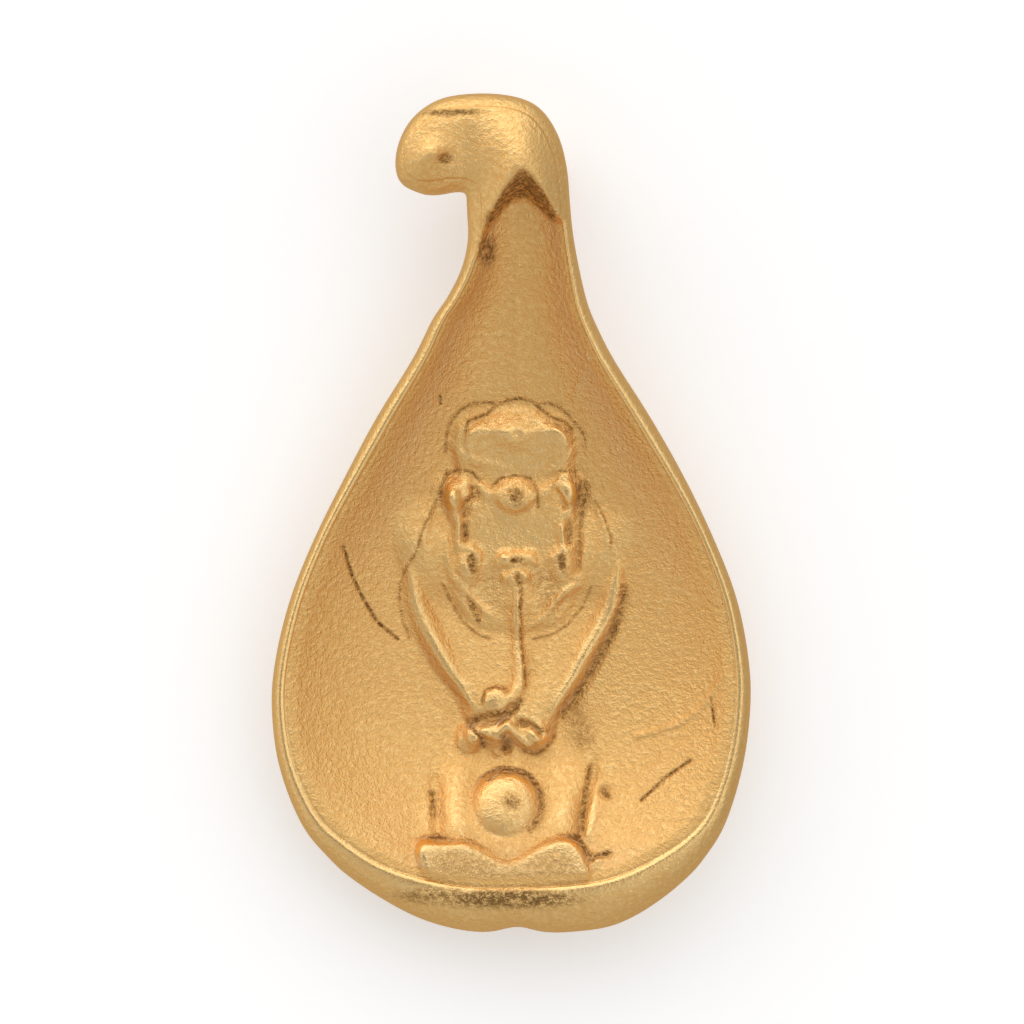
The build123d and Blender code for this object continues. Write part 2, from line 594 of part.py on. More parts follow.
# The leaf and the animal together
def casting_front(x, y, edge):
    xs, ys, rise = relief_map()
    column = np.clip((x - xs[0]) / relief_sample, 0, len(xs) - 1.001)
    line = np.clip((y - ys[0]) / relief_sample, 0, len(ys) - 1.001)
    j, i = column.astype(int), line.astype(int)
    right, up = column - j, line - i
    lower = rise[i, j] * (1 - right) + rise[i, j + 1] * right
    upper = rise[i + 1, j] * (1 - right) + rise[i + 1, j + 1] * right
    return leaf_front(x, y, line_distance(x, y, edge)) + lower * (1 - up) + upper * up


# Rows spaced along the middle of the leaf, closer together over the animal
def grid_rows():
    fine = np.linspace(0, last_row, 2000)
    x, y = plan(0.0, fine, 1, grid_start)
    path = np.concatenate([[0], np.cumsum(np.hypot(np.diff(x), np.diff(y)))])
    figure_end = np.interp(figure_y + figure_length / 2, y[:1000], path[:1000])
    relief_count = round(figure_end / relief_pitch)
    curl_count = round((path[-1] - figure_end) / curl_pitch)
    curl_count += (relief_count + curl_count) % 2
    relief = np.linspace(0, figure_end, relief_count + 1)
    curl = np.linspace(figure_end, path[-1], curl_count + 1)[1:]
    return np.interp(np.concatenate([relief, curl]), path, fine)


# Columns of one section, as shares from -1 to 1: even over the animal, others on the walls
def grid_columns(width, count):
    side = np.array(side_columns) * leaf_width
    reach = np.clip(width / 2 - figure_width * 0.52, 0.1 * width, side[-1])
    side = side * reach / side[-1]
    middle = np.linspace(side[-1], width - side[-1], count - 2 * len(side) + 2)[1:-1]
    return np.concatenate([side, middle, (width - side)[::-1]]) / width * 2 - 1


def loop_of(grid):
    foot, right = grid[0, :-1], grid[:-1, -1]
    tip, left = grid[-1, :0:-1], grid[:0:-1, 0]
    return np.concatenate([foot, right, tip, left])


def build_casting():
    rows = grid_rows()
    middle_width = leaf_width * (1 - 2 * side_columns[-1]) - 2 * (rim_wall + grid_start * rim_band)
    count = 2 * len(side_columns) + 2 * round(middle_width / relief_pitch / 2) - 1
    across = np.empty((len(rows), count))
    for i, row in enumerate(rows):
        left, right = plan(-1.0, row, 1, grid_start), plan(1.0, row, 1, grid_start)
        across[i] = grid_columns(np.hypot(right[0] - left[0], right[1] - left[1]), count)
    row_of = np.repeat(rows[:, None], count, axis=1)
    edge = edge_line()

    x, y = plan(across, row_of, 1, grid_start)
    front = np.stack([x, y, casting_front(x, y, edge)], axis=-1)
    back_start = back_turn / rim_band
    x, y = plan(across, row_of, 1, back_start)
    back = np.stack([x, y, leaf_back(x, y)], axis=-1)[::2, ::2]

    # Loops from the grid over the polished edge and down the outer wall
    loop_across, loop_row = loop_of(across), loop_of(row_of)
    loops = [loop_of(front)]
    for bands in band_loops[::-1]:
        x, y = plan(loop_across, loop_row, 1, bands)
        distance = bands * band_width(leaf_width_at(y))
        loops.append(np.column_stack([x, y, leaf_front(x, y, distance)]))
    top = loops[-1][:, 2]
    low = leaf_back(loops[-1][:, 0], loops[-1][:, 1])
    on_foot = np.clip(1 - loop_row / foot_rows, 0, 1) ** 2
    for in_wall, side_drop, foot_drop in WALL:
        x, y = plan(loop_across, loop_row, in_wall, 0)
        drop = side_drop + (foot_drop - side_drop) * on_foot
        loops.append(np.column_stack([x, y, top + (low - top) * drop]))
    return faceted_solid(front, loops, back)


# One closed solid from the front grid, the loops round it and the coarser back grid
def faceted_solid(front, loops, back):
    triangles = []

    # Four corners become two triangles, cut along the flatter diagonal
    def quad(a, b, c, d):
        if abs(a[2] - c[2]) <= abs(b[2] - d[2]):
            triangles.extend([(a, b, c), (a, c, d)])
        else:
            triangles.extend([(a, b, d), (b, c, d)])

    for i in range(front.shape[0] - 1):
        for j in range(front.shape[1] - 1):
            quad(front[i, j], front[i, j + 1], front[i + 1, j + 1], front[i + 1, j])
    for upper, lower in zip(loops[:-1], loops[1:]):
        for k in range(len(upper)):
            n = (k + 1) % len(upper)
            quad(upper[k], lower[k], lower[n], upper[n])
    rim, bottom = loops[-1], loop_of(back)
    for k in range(len(bottom)):
        a, b, c = rim[2 * k], rim[2 * k + 1], rim[(2 * k + 2) % len(rim)]
        p, q = bottom[k], bottom[(k + 1) % len(bottom)]
        triangles.extend([(a, p, b), (b, p, q), (b, q, c)])
    for i in range(back.shape[0] - 1):
        for j in range(back.shape[1] - 1):
            quad(back[i, j], back[i + 1, j], back[i + 1, j + 1], back[i, j + 1])
    faces = []
    for corners in triangles:
        points = [Vector(*(float(v) for v in corner)) for corner in corners]
        faces.append(Face(Wire.make_polygon(points)))
    print("casting:", len(faces), "triangles")
    return Solid(Shell(faces))


# The bail: a plain tube ring along X with a pad on top that meets the neck's back
def build_bail():
    ring = Cylinder(bail_radius, bail_width, rotation=(0, 90, 0))
    ring = fillet(ring.edges().filter_by(GeomType.CIRCLE), bail_edge)
    pad_height = saddle_top - bail_radius
    pad = Pos(0, 0, pad_height / 2) * Box(bail_width - 2 * bail_edge, saddle_length, pad_height)
    bore = Cylinder(bail_bore / 2, bail_width * 2, rotation=(0, 90, 0))
    return Pos(bail_x, bail_y, bail_radius) * (ring + pad - bore)


os.makedirs("parts", exist_ok=True)
export_step(build_casting(), "parts/casting.step")
export_step(build_bail(), "parts/bail.step")
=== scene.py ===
import bpy
import numpy as np
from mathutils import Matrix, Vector
from mathutils.geometry import delaunay_2d_cdt


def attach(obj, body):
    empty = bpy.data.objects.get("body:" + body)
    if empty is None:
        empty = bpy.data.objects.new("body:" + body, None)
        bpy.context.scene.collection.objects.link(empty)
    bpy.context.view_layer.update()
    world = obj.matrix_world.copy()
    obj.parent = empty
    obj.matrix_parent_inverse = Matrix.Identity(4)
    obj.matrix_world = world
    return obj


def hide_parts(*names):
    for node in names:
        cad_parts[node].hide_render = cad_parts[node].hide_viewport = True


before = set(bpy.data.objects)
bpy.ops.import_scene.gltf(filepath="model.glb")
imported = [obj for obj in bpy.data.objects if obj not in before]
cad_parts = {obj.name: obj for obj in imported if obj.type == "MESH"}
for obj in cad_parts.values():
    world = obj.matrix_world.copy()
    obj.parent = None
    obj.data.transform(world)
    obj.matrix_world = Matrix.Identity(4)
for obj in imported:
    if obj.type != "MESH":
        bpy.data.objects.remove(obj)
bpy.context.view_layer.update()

# A leaf-shaped gold pendant that lies on its back. Sizes are in millimetres where nothing else
# is said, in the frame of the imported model: the leaf's tip points to +Y, its open front faces
# +Z, and z = 0 is the floor. "Shares" are of the half width across and half length along.
millimetre = 0.001

# Sizes of the leaf
leaf_length = 12.0
leaf_width = 6.87
leaf_wall = 0.45
bowl_depth = 1.0
rim_band = 0.07  # width of the polished edge round the bowl
full_band_share = 0.6  # share of leaf_width from which on it is that wide
least_band_share = 0.5  # its least width, in rim_band
rim_step = 0.04  # drop from the polished edge to the matt floor
drop_start = 0.9  # where the edge starts to drop, in its widths
drop_width = 0.3  # and over which it drops
step_bands = 2  # where the step starts to fade out, in the same
rim_wall = 0.12  # how far the outer wall stands out at the sides
foot_wall = 0.55  # and at the foot
most_side = 0.25  # most of a section that one wall takes up
foot_notch = 0.08
foot_notch_width = 0.5
back_turn = 0.3  # how far inside the edge the back starts

# Sizes of the curled tip
curl_rise = 0.15  # how far the curl's middle stands over its edge
curl_round = 0.65  # width over which the curl's edge rounds up
curl_swell = 0.27  # unit of the heights in CURL_FORMS
tip_round = 0.07  # how far the curl's end bulges out

# Sizes of the seated animal
figure_length = 7.0
figure_width = 3.8
figure_rise = 0.715
figure_x = 0.06
figure_y = -1.88
ball_diameter = 1.02
pearl_diameter = 0.42  # the small ball at the strand's end

# Sizes of the bail, under the neck's back
bail_bore = 0.9
bail_wall = 0.25
solder_gap = 0.05

# How finely the surfaces are cut
edge_pitch = 0.04  # between points of a loop round the leaf
floor_pitch = 0.045  # between points of the bowl's floor
relief_pitch = 0.026  # between points of the animal
back_pitch = 0.1  # between points of the back
sample = 0.02  # between the places at which the animal's forms are tried
relief_smooth = 0.02  # how far the relief is smoothed
mark_pitch = 0.035  # between points along a mark
mark_shares = (-1.6, -0.8, 0, 0.8, 1.6)  # where they lie across it, in its half widths
floor_margin = 0.5 * floor_pitch  # between the floor's points and other ones
back_margin = 0.4 * back_pitch
edge_bands = (0.35, 0.7, 0.95, 1.2, 1.5, 2.0, 3.0)  # loops inside the edge, in its widths
wall_loops = 16  # loops of the outer wall over the lowest one
foot_samples = 400  # places tried along the foot, a side and the tip
side_samples = 2000
tip_samples = 80
section_samples = 120  # the same, for the width along the leaf
foot_edge_samples = 60
fine_reach = 0.54  # half size of the fine places, in shares of the animal's size
map_reach = (0.56, 0.53)  # and of the map of its relief, across and along
map_end = 1.001  # keeps places off the map's last row and column
loop_ease = 2  # how many points' corners are eased along a loop
turn_span = 2  # points to each side that give a loop's direction
bell_reach = 3  # how much of a bell curve counts, in its widths
only_inside = 1  # has a loop filled with the triangles inside it
merge_distance = 1e-7  # between points that count as one in the filling

half_length = leaf_length / 2
half_width = leaf_width / 2
neck_back = 2 * (bail_bore / 2 + bail_wall) + solder_gap

# The outline, from the foot up, in sections: left x, left y, right x, right y, in shares. The
# last ones fan round the inner corner of the curl and end at its tip.
OUTLINE = np.array([
    (-0.725, -0.847, 0.779, -0.847),
    (-0.867, -0.752, 0.888, -0.752),
    (-0.967, -0.609, 0.967, -0.609),
    (-1.0, -0.465, 1.0, -0.465),
    (-0.983, -0.346, 0.992, -0.346),
    (-0.921, -0.203, 0.942, -0.203),
    (-0.821, -0.06, 0.846, -0.06),
    (-0.696, 0.084, 0.725, 0.084),
    (-0.562, 0.227, 0.583, 0.227),
    (-0.408, 0.37, 0.425, 0.37),
    (-0.325, 0.465, 0.342, 0.465),
    (-0.267, 0.513, 0.312, 0.513),
    (-0.204, 0.585, 0.283, 0.585),
    (-0.177, 0.656, 0.26, 0.656),
    (-0.18, 0.704, 0.25, 0.704),
    (-0.183, 0.745, 0.243, 0.75),
    (-0.183, 0.757, 0.232, 0.822),
    (-0.186, 0.763, 0.196, 0.9),
    (-0.196, 0.766, 0.122, 0.964),
    (-0.214, 0.767, 0.02, 0.992),
    (-0.24, 0.766, -0.13, 1.0),
    (-0.275, 0.762, -0.29, 0.988),
    (-0.312, 0.759, -0.4, 0.948),
    (-0.35, 0.759, -0.46, 0.895),
    (-0.385, 0.763, -0.483, 0.84),
    (-0.418, 0.774, -0.478, 0.806),
])

# The foot: across from -1 to 1, outline y in shares, the edge's distance from it in foot_wall
FOOT = np.array([
    (-1.0, -0.847, 0.38),
    (-0.9, -0.88, 0.46),
    (-0.78, -0.914, 0.58),
    (-0.55, -0.966, 0.84),
    (-0.28, -0.997, 0.98),
    (0.0, -1.0, 1.0),
    (0.3, -0.999, 1.05),
    (0.55, -0.981, 1.02),
    (0.8, -0.921, 0.8),
    (0.9, -0.887, 0.68),
    (1.0, -0.847, 0.52),
])

# Heights: along in shares, back in neck_back, metal in leaf_wall, the edge's rise over the
# floor in bowl_depth, and how much of the floor's own rise the back follows
DEPTHS = np.array([
    (-1.0, 0.32, 1.3, 0.57, 0.7),
    (-0.9, 0.26, 1.2, 0.63, 0.7),
    (-0.8, 0.2, 1.1, 0.72, 0.7),
    (-0.62, 0.1, 1.0, 0.87, 0.7),
    (-0.45, 0.03, 1.0, 0.96, 0.7),
    (-0.25, 0.0, 0.98, 1.01, 0.7),
    (-0.05, 0.01, 1.0, 0.99, 0.7),
    (0.15, 0.12, 1.0, 0.91, 0.7),
    (0.37, 0.36, 0.95, 0.75, 0.6),
    (0.5, 0.55, 0.88, 0.63, 0.3),
    (0.6, 0.74, 0.82, 0.51, 0.1),
    (0.7, 0.92, 0.8, 0.43, 0.0),
    (0.76, 1.0, 0.87, 0.4, 0.0),
    (1.0, 1.0, 1.22, 0.4, 0.0),
])
side_power = 2.8  # how late the floor turns up into the walls at the sides
foot_power = 2.6  # and at the foot
foot_reach = 2.8  # length over which it turns up at the foot

curl_fall = 0.05  # extra fall of the curl's wall beside its edge
curl_fall_turn = 0.35  # turn at which that fall is complete

# The outer wall: turn from 0 at the edge to 1 at the back, how far out towards the outline,
# the fall from the edge to the back at the sides and at the foot
WALL = np.array([
    (0.0, 0.0, 0.0, 0.0),
    (0.15, 0.32, 0.03, 0.05),
    (0.35, 0.7, 0.14, 0.2),
    (0.6, 1.0, 0.42, 0.56),
    (0.8, 0.85, 0.72, 0.8),
    (1.0, -1.0, 1.0, 1.0),
])

# How far the outer wall stands out: along in shares, left and right in rim_wall
SIDES = np.array([
    (-0.85, 1.6, 1.6),
    (-0.6, 1.1, 1.3),
    (-0.3, 0.9, 1.05),
    (0.0, 0.9, 1.0),
    (0.2, 1.3, 1.4),
    (0.45, 1.2, 1.3),
    (0.6, 1.1, 0.9),
    (0.75, 1.3, 0.8),
    (1.0, 1.3, 1.3),
])

# The hood, in shares: across, along where the neck's floor ends and where the curl starts
HOOD = np.array([
    (-0.139, 0.599, 0.627),
    (-0.1, 0.671, 0.711),
    (-0.067, 0.694, 0.735),
    (-0.037, 0.718, 0.764),
    (-0.004, 0.733, 0.795),
    (0.03, 0.74, 0.819),
    (0.05, 0.74, 0.826),
    (0.08, 0.735, 0.814),
    (0.12, 0.718, 0.783),
    (0.163, 0.694, 0.747),
    (0.187, 0.685, 0.718),
    (0.212, 0.689, 0.702),
])
# The curl's forms: across and along in shares, half length and half width in half_width, turn
# in degrees, height in curl_swell
CURL_FORMS = np.array([
    (0.115, 0.812, 0.26, 0.18, 103, 1.0),
    (-0.05, 0.755, 0.18, 0.055, 62, 0.45),
    (-0.135, 0.63, 0.16, 0.045, 76, 0.25),
    (0.16, 0.75, 0.18, 0.055, 105, 0.2),
    (-0.34, 0.815, 0.13, 0.1, 20, 0.26),
    (-0.19, 0.86, 0.16, 0.09, 80, -0.45),
    (-0.25, 0.968, 0.13, 0.02, 0, 0.1),
    (-0.25, 0.949, 0.11, 0.014, 4, -0.25),
    (-0.335, 0.858, 0.05, 0.045, 0, 0.38),
    (-0.27, 0.842, 0.028, 0.022, 0, -0.25),
])

# The seated animal. Its units are 266ths of figure_width across and 490ths of figure_length
# along, from its middle, and 50ths of figure_rise over the bowl's floor.
# Masses: the edge over which one rounds off, pairs of along and height, and its outline.
MASSES = [
    # wings and shoulders
    (40, [(30, 7), (60, 11), (98, 16), (130, 9), (165, 0)],
     [(-40, 172), (-92, 172), (-114, 162), (-128, 136), (-130, 104), (-122, 70), (-108, 30),
      (-40, 30)]),
    (40, [(30, 7), (60, 11), (94, 13), (130, 6), (158, 0)],
     [(40, 160), (92, 156), (114, 150), (128, 126), (126, 100), (120, 66), (104, 30), (40, 30)]),
    # chest and forelegs
    (30, [(-118, 9), (-100, 16), (-78, 20), (-60, 19), (-30, 14), (0, 10), (30, 6), (60, 4),
          (90, 3), (104, 1)],
     [(-116, 70), (-112, 84), (-98, 96), (-60, 110), (60, 110), (96, 96), (110, 72), (108, 44),
      (98, 8), (84, -20), (68, -46), (54, -64), (44, -84), (41, -100), (32, -116), (14, -116),
      (4, -104), (-12, -112), (-30, -112), (-42, -114), (-56, -104), (-58, -90), (-54, -76),
      (-66, -50), (-86, -28), (-101, -4), (-112, 26), (-117, 48)]),
    # shins and haunches
    (26, [(-240, 11), (-190, 13), (-160, 11), (-130, 6), (-104, 1)],
     [(-40, -96), (-70, -104), (-80, -128), (-82, -160), (-80, -196), (-64, -232), (60, -232),
      (68, -196), (68, -176), (72, -156), (80, -138), (82, -118), (60, -104), (30, -100)]),
    (16, [(-200, 7), (-150, 6), (-120, 2)],
     [(60, -120), (82, -126), (92, -150), (90, -180), (84, -205), (60, -205)]),
    (18, [(-205, 7), (-150, 4), (-120, 1)],
     [(-70, -124), (-88, -130), (-100, -150), (-103, -176), (-98, -205), (-70, -205)]),
    # the two lobes that it sits on
    (11, [(-250, 1), (-243, 4), (-230, 11), (-214, 18), (-200, 23), (-186, 25)],
     [(-102, -196), (-88, -190), (-74, -195), (-60, -192), (-46, -193), (-34, -198),
      (-22, -207), (-8, -216), (4, -208), (14, -202), (24, -196), (36, -190), (52, -188),
      (66, -195), (76, -214), (82, -240), (40, -254), (-4, -256), (-50, -254), (-92, -240),
      (-104, -212)]),
    (10, [(-240, 2), (-226, 6), (-205, 10)],
     [(60, -206), (84, -206), (96, -214), (88, -228), (60, -238)]),
    # the crest's shell
    (14, [(150, 9), (176, 11), (200, 11), (222, 9), (242, 4)],
     [(-58, 150), (-66, 190), (-69, 204), (-65, 222), (-54, 233), (-38, 240), (-16, 241),
      (0, 237), (20, 241), (40, 240), (50, 232), (60, 221), (66, 207), (64, 190), (58, 150)]),
    # the ingot on it
    (7, [(160, 8), (176, 10), (190, 13), (202, 15), (212, 15), (222, 12), (231, 8),
         (240, 4), (248, 2)],
     [(-54, 214), (-48, 222), (-38, 227), (-28, 229), (-20, 235), (-12, 241), (0, 244),
      (12, 242), (21, 236), (29, 229), (40, 224), (50, 220), (57, 210), (60, 198), (52, 186),
      (40, 160), (-40, 160), (-50, 186), (-57, 200)]),
    # the cheeks and jowls
    (15, [(4, 10), (20, 11), (40, 12), (60, 12), (100, 11), (140, 9), (170, 5)],
     [(-60, 170), (-74, 140), (-78, 120), (-76, 100), (-74, 80), (-76, 62), (-72, 50),
      (-60, 30), (-50, 18), (-40, 10), (-28, 7), (0, 4), (20, 6), (40, 9), (48, 13), (58, 28),
      (66, 45), (72, 62), (74, 80), (76, 100), (77, 120), (74, 140), (60, 170)]),
    # the face
    (14, [(18, 11), (40, 12), (60, 13), (80, 14), (100, 14), (130, 15), (150, 14), (160, 12),
          (172, 9)],
     [(-56, 173), (-70, 167), (-77, 150), (-76, 135), (-72, 120), (-70, 100), (-70, 80),
      (-66, 64), (-48, 49), (-32, 33), (-15, 27), (0, 24), (18, 21), (29, 24), (41, 40),
      (54, 54), (62, 64), (64, 80), (65, 120), (66, 140), (68, 160), (60, 170), (45, 174)]),
]
mass_pitch = 4  # between points of a mass's outline
mass_ease = 2
mass_blend = 4.0  # how softly the masses meet, and the balls meet them
ball_blend = 1.5
dome_power = 2.7  # how flat the knobs and balls are in the middle
dome_edge = 0.7  # and how they round off at their edges

# Forms that are added to the masses: height, then an oval's across, along, half width and half
# length, or a line's points of across, along and radius. Domes are flatter ovals.
CREST = [
    (6, (-3, 212, 26, 24)),
    (2.5, (-46, 208, 3), (-34, 214, 10), (-16, 214, 10), (-4, 213, 4)),
    (2.0, (10, 212, 4), (26, 214, 9), (46, 213, 8), (56, 206, 3)),
    (-3, (2, 211, 5, 5)),
    (2, (-70, 210, 2), (-60, 196, 6), (-42, 184, 7), (-20, 179, 5), (-4, 178, 2)),
    (2, (67, 206, 2), (52, 186, 5), (42, 176, 6), (30, 170, 2)),
]
BROW = [
    (5, (-70, 152, 18, 24)),
    (4, (-62, 146, 12), (-60, 128, 9)),
    (4, (0, 138, 26, 24)),
    (3, (-36, 156, 10), (-24, 150, 10)),
    (3, (24, 150, 10), (36, 157, 9)),
    (-6, (-42, 157, 6), (-40, 149, 6), (-49, 140, 6), (-50, 130, 5)),
    (-5, (40, 156, 5), (46, 146, 5), (50, 136, 4)),
    (-2, (0, 149, 6, 6)),
]
FACE = [
    (4, (-57, 130, 2), (-57, 120, 6), (-58, 104, 6), (-58, 95, 2)),
    (-4, (-50, 121, 4), (-50, 106, 4)),
    (3.5, (45, 126, 2), (46, 117, 6), (48, 102, 6), (49, 94, 2)),
    (-4, (54, 124, 4), (53, 104, 4)),
    (7, (-47, 78, 20, 26)),
    (6, (49, 78, 18, 25)),
    (-3.5, (-44, 82, 6, 11)),
    (-3.5, (47, 82, 6, 10)),
    (2.5, (-60, 97, 7), (-48, 99, 7), (-37, 90, 7)),
    (2.5, (38, 86, 7), (44, 94, 7), (57, 96, 7)),
    (-3.5, (-29, 56, 20, 34)),
    (-3.5, (29, 54, 19, 34)),
    (4, (2, 72, 16), (3, 40, 18), (3, 14, 12)),
    (7, (-20, 78, 4), (-11, 85, 12), (2, 86, 11), (14, 86, 11), (23, 79, 4)),
    (-5, (1, 84, 7, 5)),
    (4.5, (-8, 66, 9), (2, 70, 9), (11, 68, 8)),
    (-6, (2, 68, 7, 6)),
    (3, (-69, 116, 2), (-68, 88, 6), (-64, 68, 6), (-52, 55, 6), (-42, 43, 5), (-30, 32, 5),
     (-20, 25, 2)),
    (-4, (-48, 46, 5), (-41, 35, 7), (-37, 26, 6)),
    (3.5, (71, 112, 2), (69, 84, 5), (64, 60, 6), (50, 52, 6), (38, 39, 6), (25, 23, 5),
     (14, 16, 2)),
    (-3, (52, 45, 5), (44, 34, 5)),
    (-3, (66, 160, 6), (64, 130, 6), (64, 100, 5), (63, 72, 5)),
]
STRAND = [
    (6, (1, 66, 3), (1, 34, 6), (2, 6, 8), (4, -16, 10), (5, -40, 11), (-3, -54, 9),
     (-12, -59, 6)),
    (-1.5, (14, -2, 3), (15, -30, 8), (12, -56, 4)),
]
ARMS = [
    (8, (-107, 78, 4), (-105, 60, 12), (-100, 40, 16), (-91, 18, 17), (-79, -5, 16),
     (-68, -26, 14), (-55, -44, 11), (-42, -66, 3)),
    (8, (104, 80, 4), (102, 60, 12), (97, 38, 16), (86, 14, 16), (73, -8, 15), (60, -34, 13),
     (42, -64, 10), (34, -80, 3)),
    (-3, (110, 48, 5), (100, 18, 7), (86, -10, 7), (74, -36, 6), (58, -62, 5)),
]
PAWS = [
    (-8, (-48, -80, 7), (-28, -76, 10), (-12, -73, 9), (0, -63, 6)),
    (-5, (-46, -81, 4), (-40, -87, 4), (-33, -95, 4), (-31, -104, 4)),
    (5, (-28, -91, 12, 12)),
    (7, (-19, -110, 7), (-17, -94, 8), (-9, -81, 9), (1, -92, 8), (11, -104, 7)),
    (-7, (-9, -105, 8, 10)),
    (8, (22, -95, 22, 21)),
    (-6, (6, -80, 5), (17, -83, 5), (26, -91, 5)),
    (5, (2, -108, 22), (4, -132, 14)),
]
HAUNCHES = [
    (3.5, (-58, -96, 8), (-59, -130, 26), (-56, -180, 28), (-52, -204, 10)),
    (3, (40, -92, 8), (44, -126, 28), (48, -176, 28), (48, -204, 10)),
    (-3, (-82, -118, 3), (-81, -146, 10), (-79, -178, 10), (-80, -198, 3)),
    (-5, (82, -116, 3), (78, -134, 8), (72, -156, 9), (66, -186, 7), (65, -204, 3)),
    (1.5, (82, -142, 3), (78, -166, 9), (74, -192, 3)),
    (-3, (91, -150, 10, 10)),
    (3, (43, -215, 5, 4)),
    (-4, (74, -211, 4), (77, -217, 4)),
    (-4, (82, -213, 4), (95, -211, 4)),
]
WINGS = [
    (2.2, (-67, 178, 3), (-80, 158, 6), (-89, 124, 6), (-93, 90, 3)),
    (2.2, (76, 156, 3), (88, 126, 6), (94, 92, 3)),
]
DOMES = [
    (5.5, (-57, 152, 19, 20)),
    (6, (54, 157, 16, 18)),
    (7, (0, 150, 22, 19)),
    (7, (-47, -95, 14, 17)),
]
FORMS = CREST + BROW + FACE + STRAND + ARMS + PAWS + HAUNCHES + WINGS

# Balls with a diameter of their own: across, along, base, rise
BALL = (-9, -163, 10, 18)
PEARL = (-19, -58, 17, 7)

# How worn the metal is, from 0 as cast to 1 polished. The wall's goes by its turn.
WALL_POLISH = np.array([(0.0, 1.0), (0.15, 0.45), (0.35, 0.2), (0.6, 0.15), (1.0, 0.15)])
curl_polish = 0.3
back_polish = 0.2
figure_polish = 0.15
polished_bands = 0.7  # where the edge's polish starts to fade, in its widths

# Smoother places of the animal: across, along, radius, how smooth
SMOOTH = [
    (-9, -163, 37, 0.55),
    (-19, -58, 15, 0.5),
    (0, 150, 22, 0.5),
    (-57, 154, 19, 0.5),
    (53, 157, 16, 0.5),
    (0, 112, 46, 0.4),
    (-30, 58, 30, 0.4),
    (32, 56, 30, 0.4),
    (0, 200, 44, 0.45),
]
smooth_edge = 4  # how sharply a smooth place ends

worn_reach = 0.12  # how far round a place its height is compared
worn_height = 0.07  # height over its surroundings when fully worn
# Crevices found with these are painted dark: painted shade
crevice_reach = 0.035  # the same, to find crevices
crevice_depth = 0.032  # depth of a full crevice, where its painted shade is full
crevice_start = 0.3  # where one starts, in that depth
figure_fade = 0.5  # over which the animal fades in beside the edge, in edge widths

# Scratches and veins: height, half width, points in shares
MARKS = [
    (-0.03, 0.02, [(-0.7, -0.08), (-0.665, -0.15), (-0.62, -0.205), (-0.56, -0.262),
     (-0.475, -0.303)]),
    (-0.035, 0.016, [(-0.296, 0.28), (-0.294, 0.262)]),
    (-0.03, 0.018, [(0.545, -0.688), (0.65, -0.632), (0.75, -0.592)]),
    (-0.025, 0.016, [(0.836, -0.445), (0.85, -0.508)]),
    (0.024, 0.045, [(0.93, -0.33), (0.865, -0.41), (0.79, -0.47), (0.69, -0.508),
     (0.53, -0.535)]),
    (0.02, 0.05, [(0.325, 0.385), (0.3, 0.33), (0.262, 0.28)]),
    (-0.01, 0.02, [(0.421, 0.317), (0.538, 0.234), (0.642, 0.15)]),
    (0.012, 0.06, [(0.03, 0.62), (0.02, 0.45), (0.03, 0.3)]),
]
scratch_shade = 0.025  # depth at which a scratch's painted shade is full
hood_shade = 8  # how soon the painted shade on the hood's steep face is full

# Rough patches, also painted darker as painted shade, in shares: across, along, half width, half
# length, and how rough
ROUGH_SHADED_PATCHES = [
    (-0.1, 0.625, 0.035, 0.035, 0.8),
    (-0.27, 0.841, 0.026, 0.011, 0.9),
    (-0.01, -0.922, 0.27, 0.02, 1.0),
    (-0.3, -0.915, 0.16, 0.018, 0.6),
    (-0.25, 0.953, 0.12, 0.007, 0.8),
]
patch_reach = 1.5  # how far out a patch ends, in shares of its size
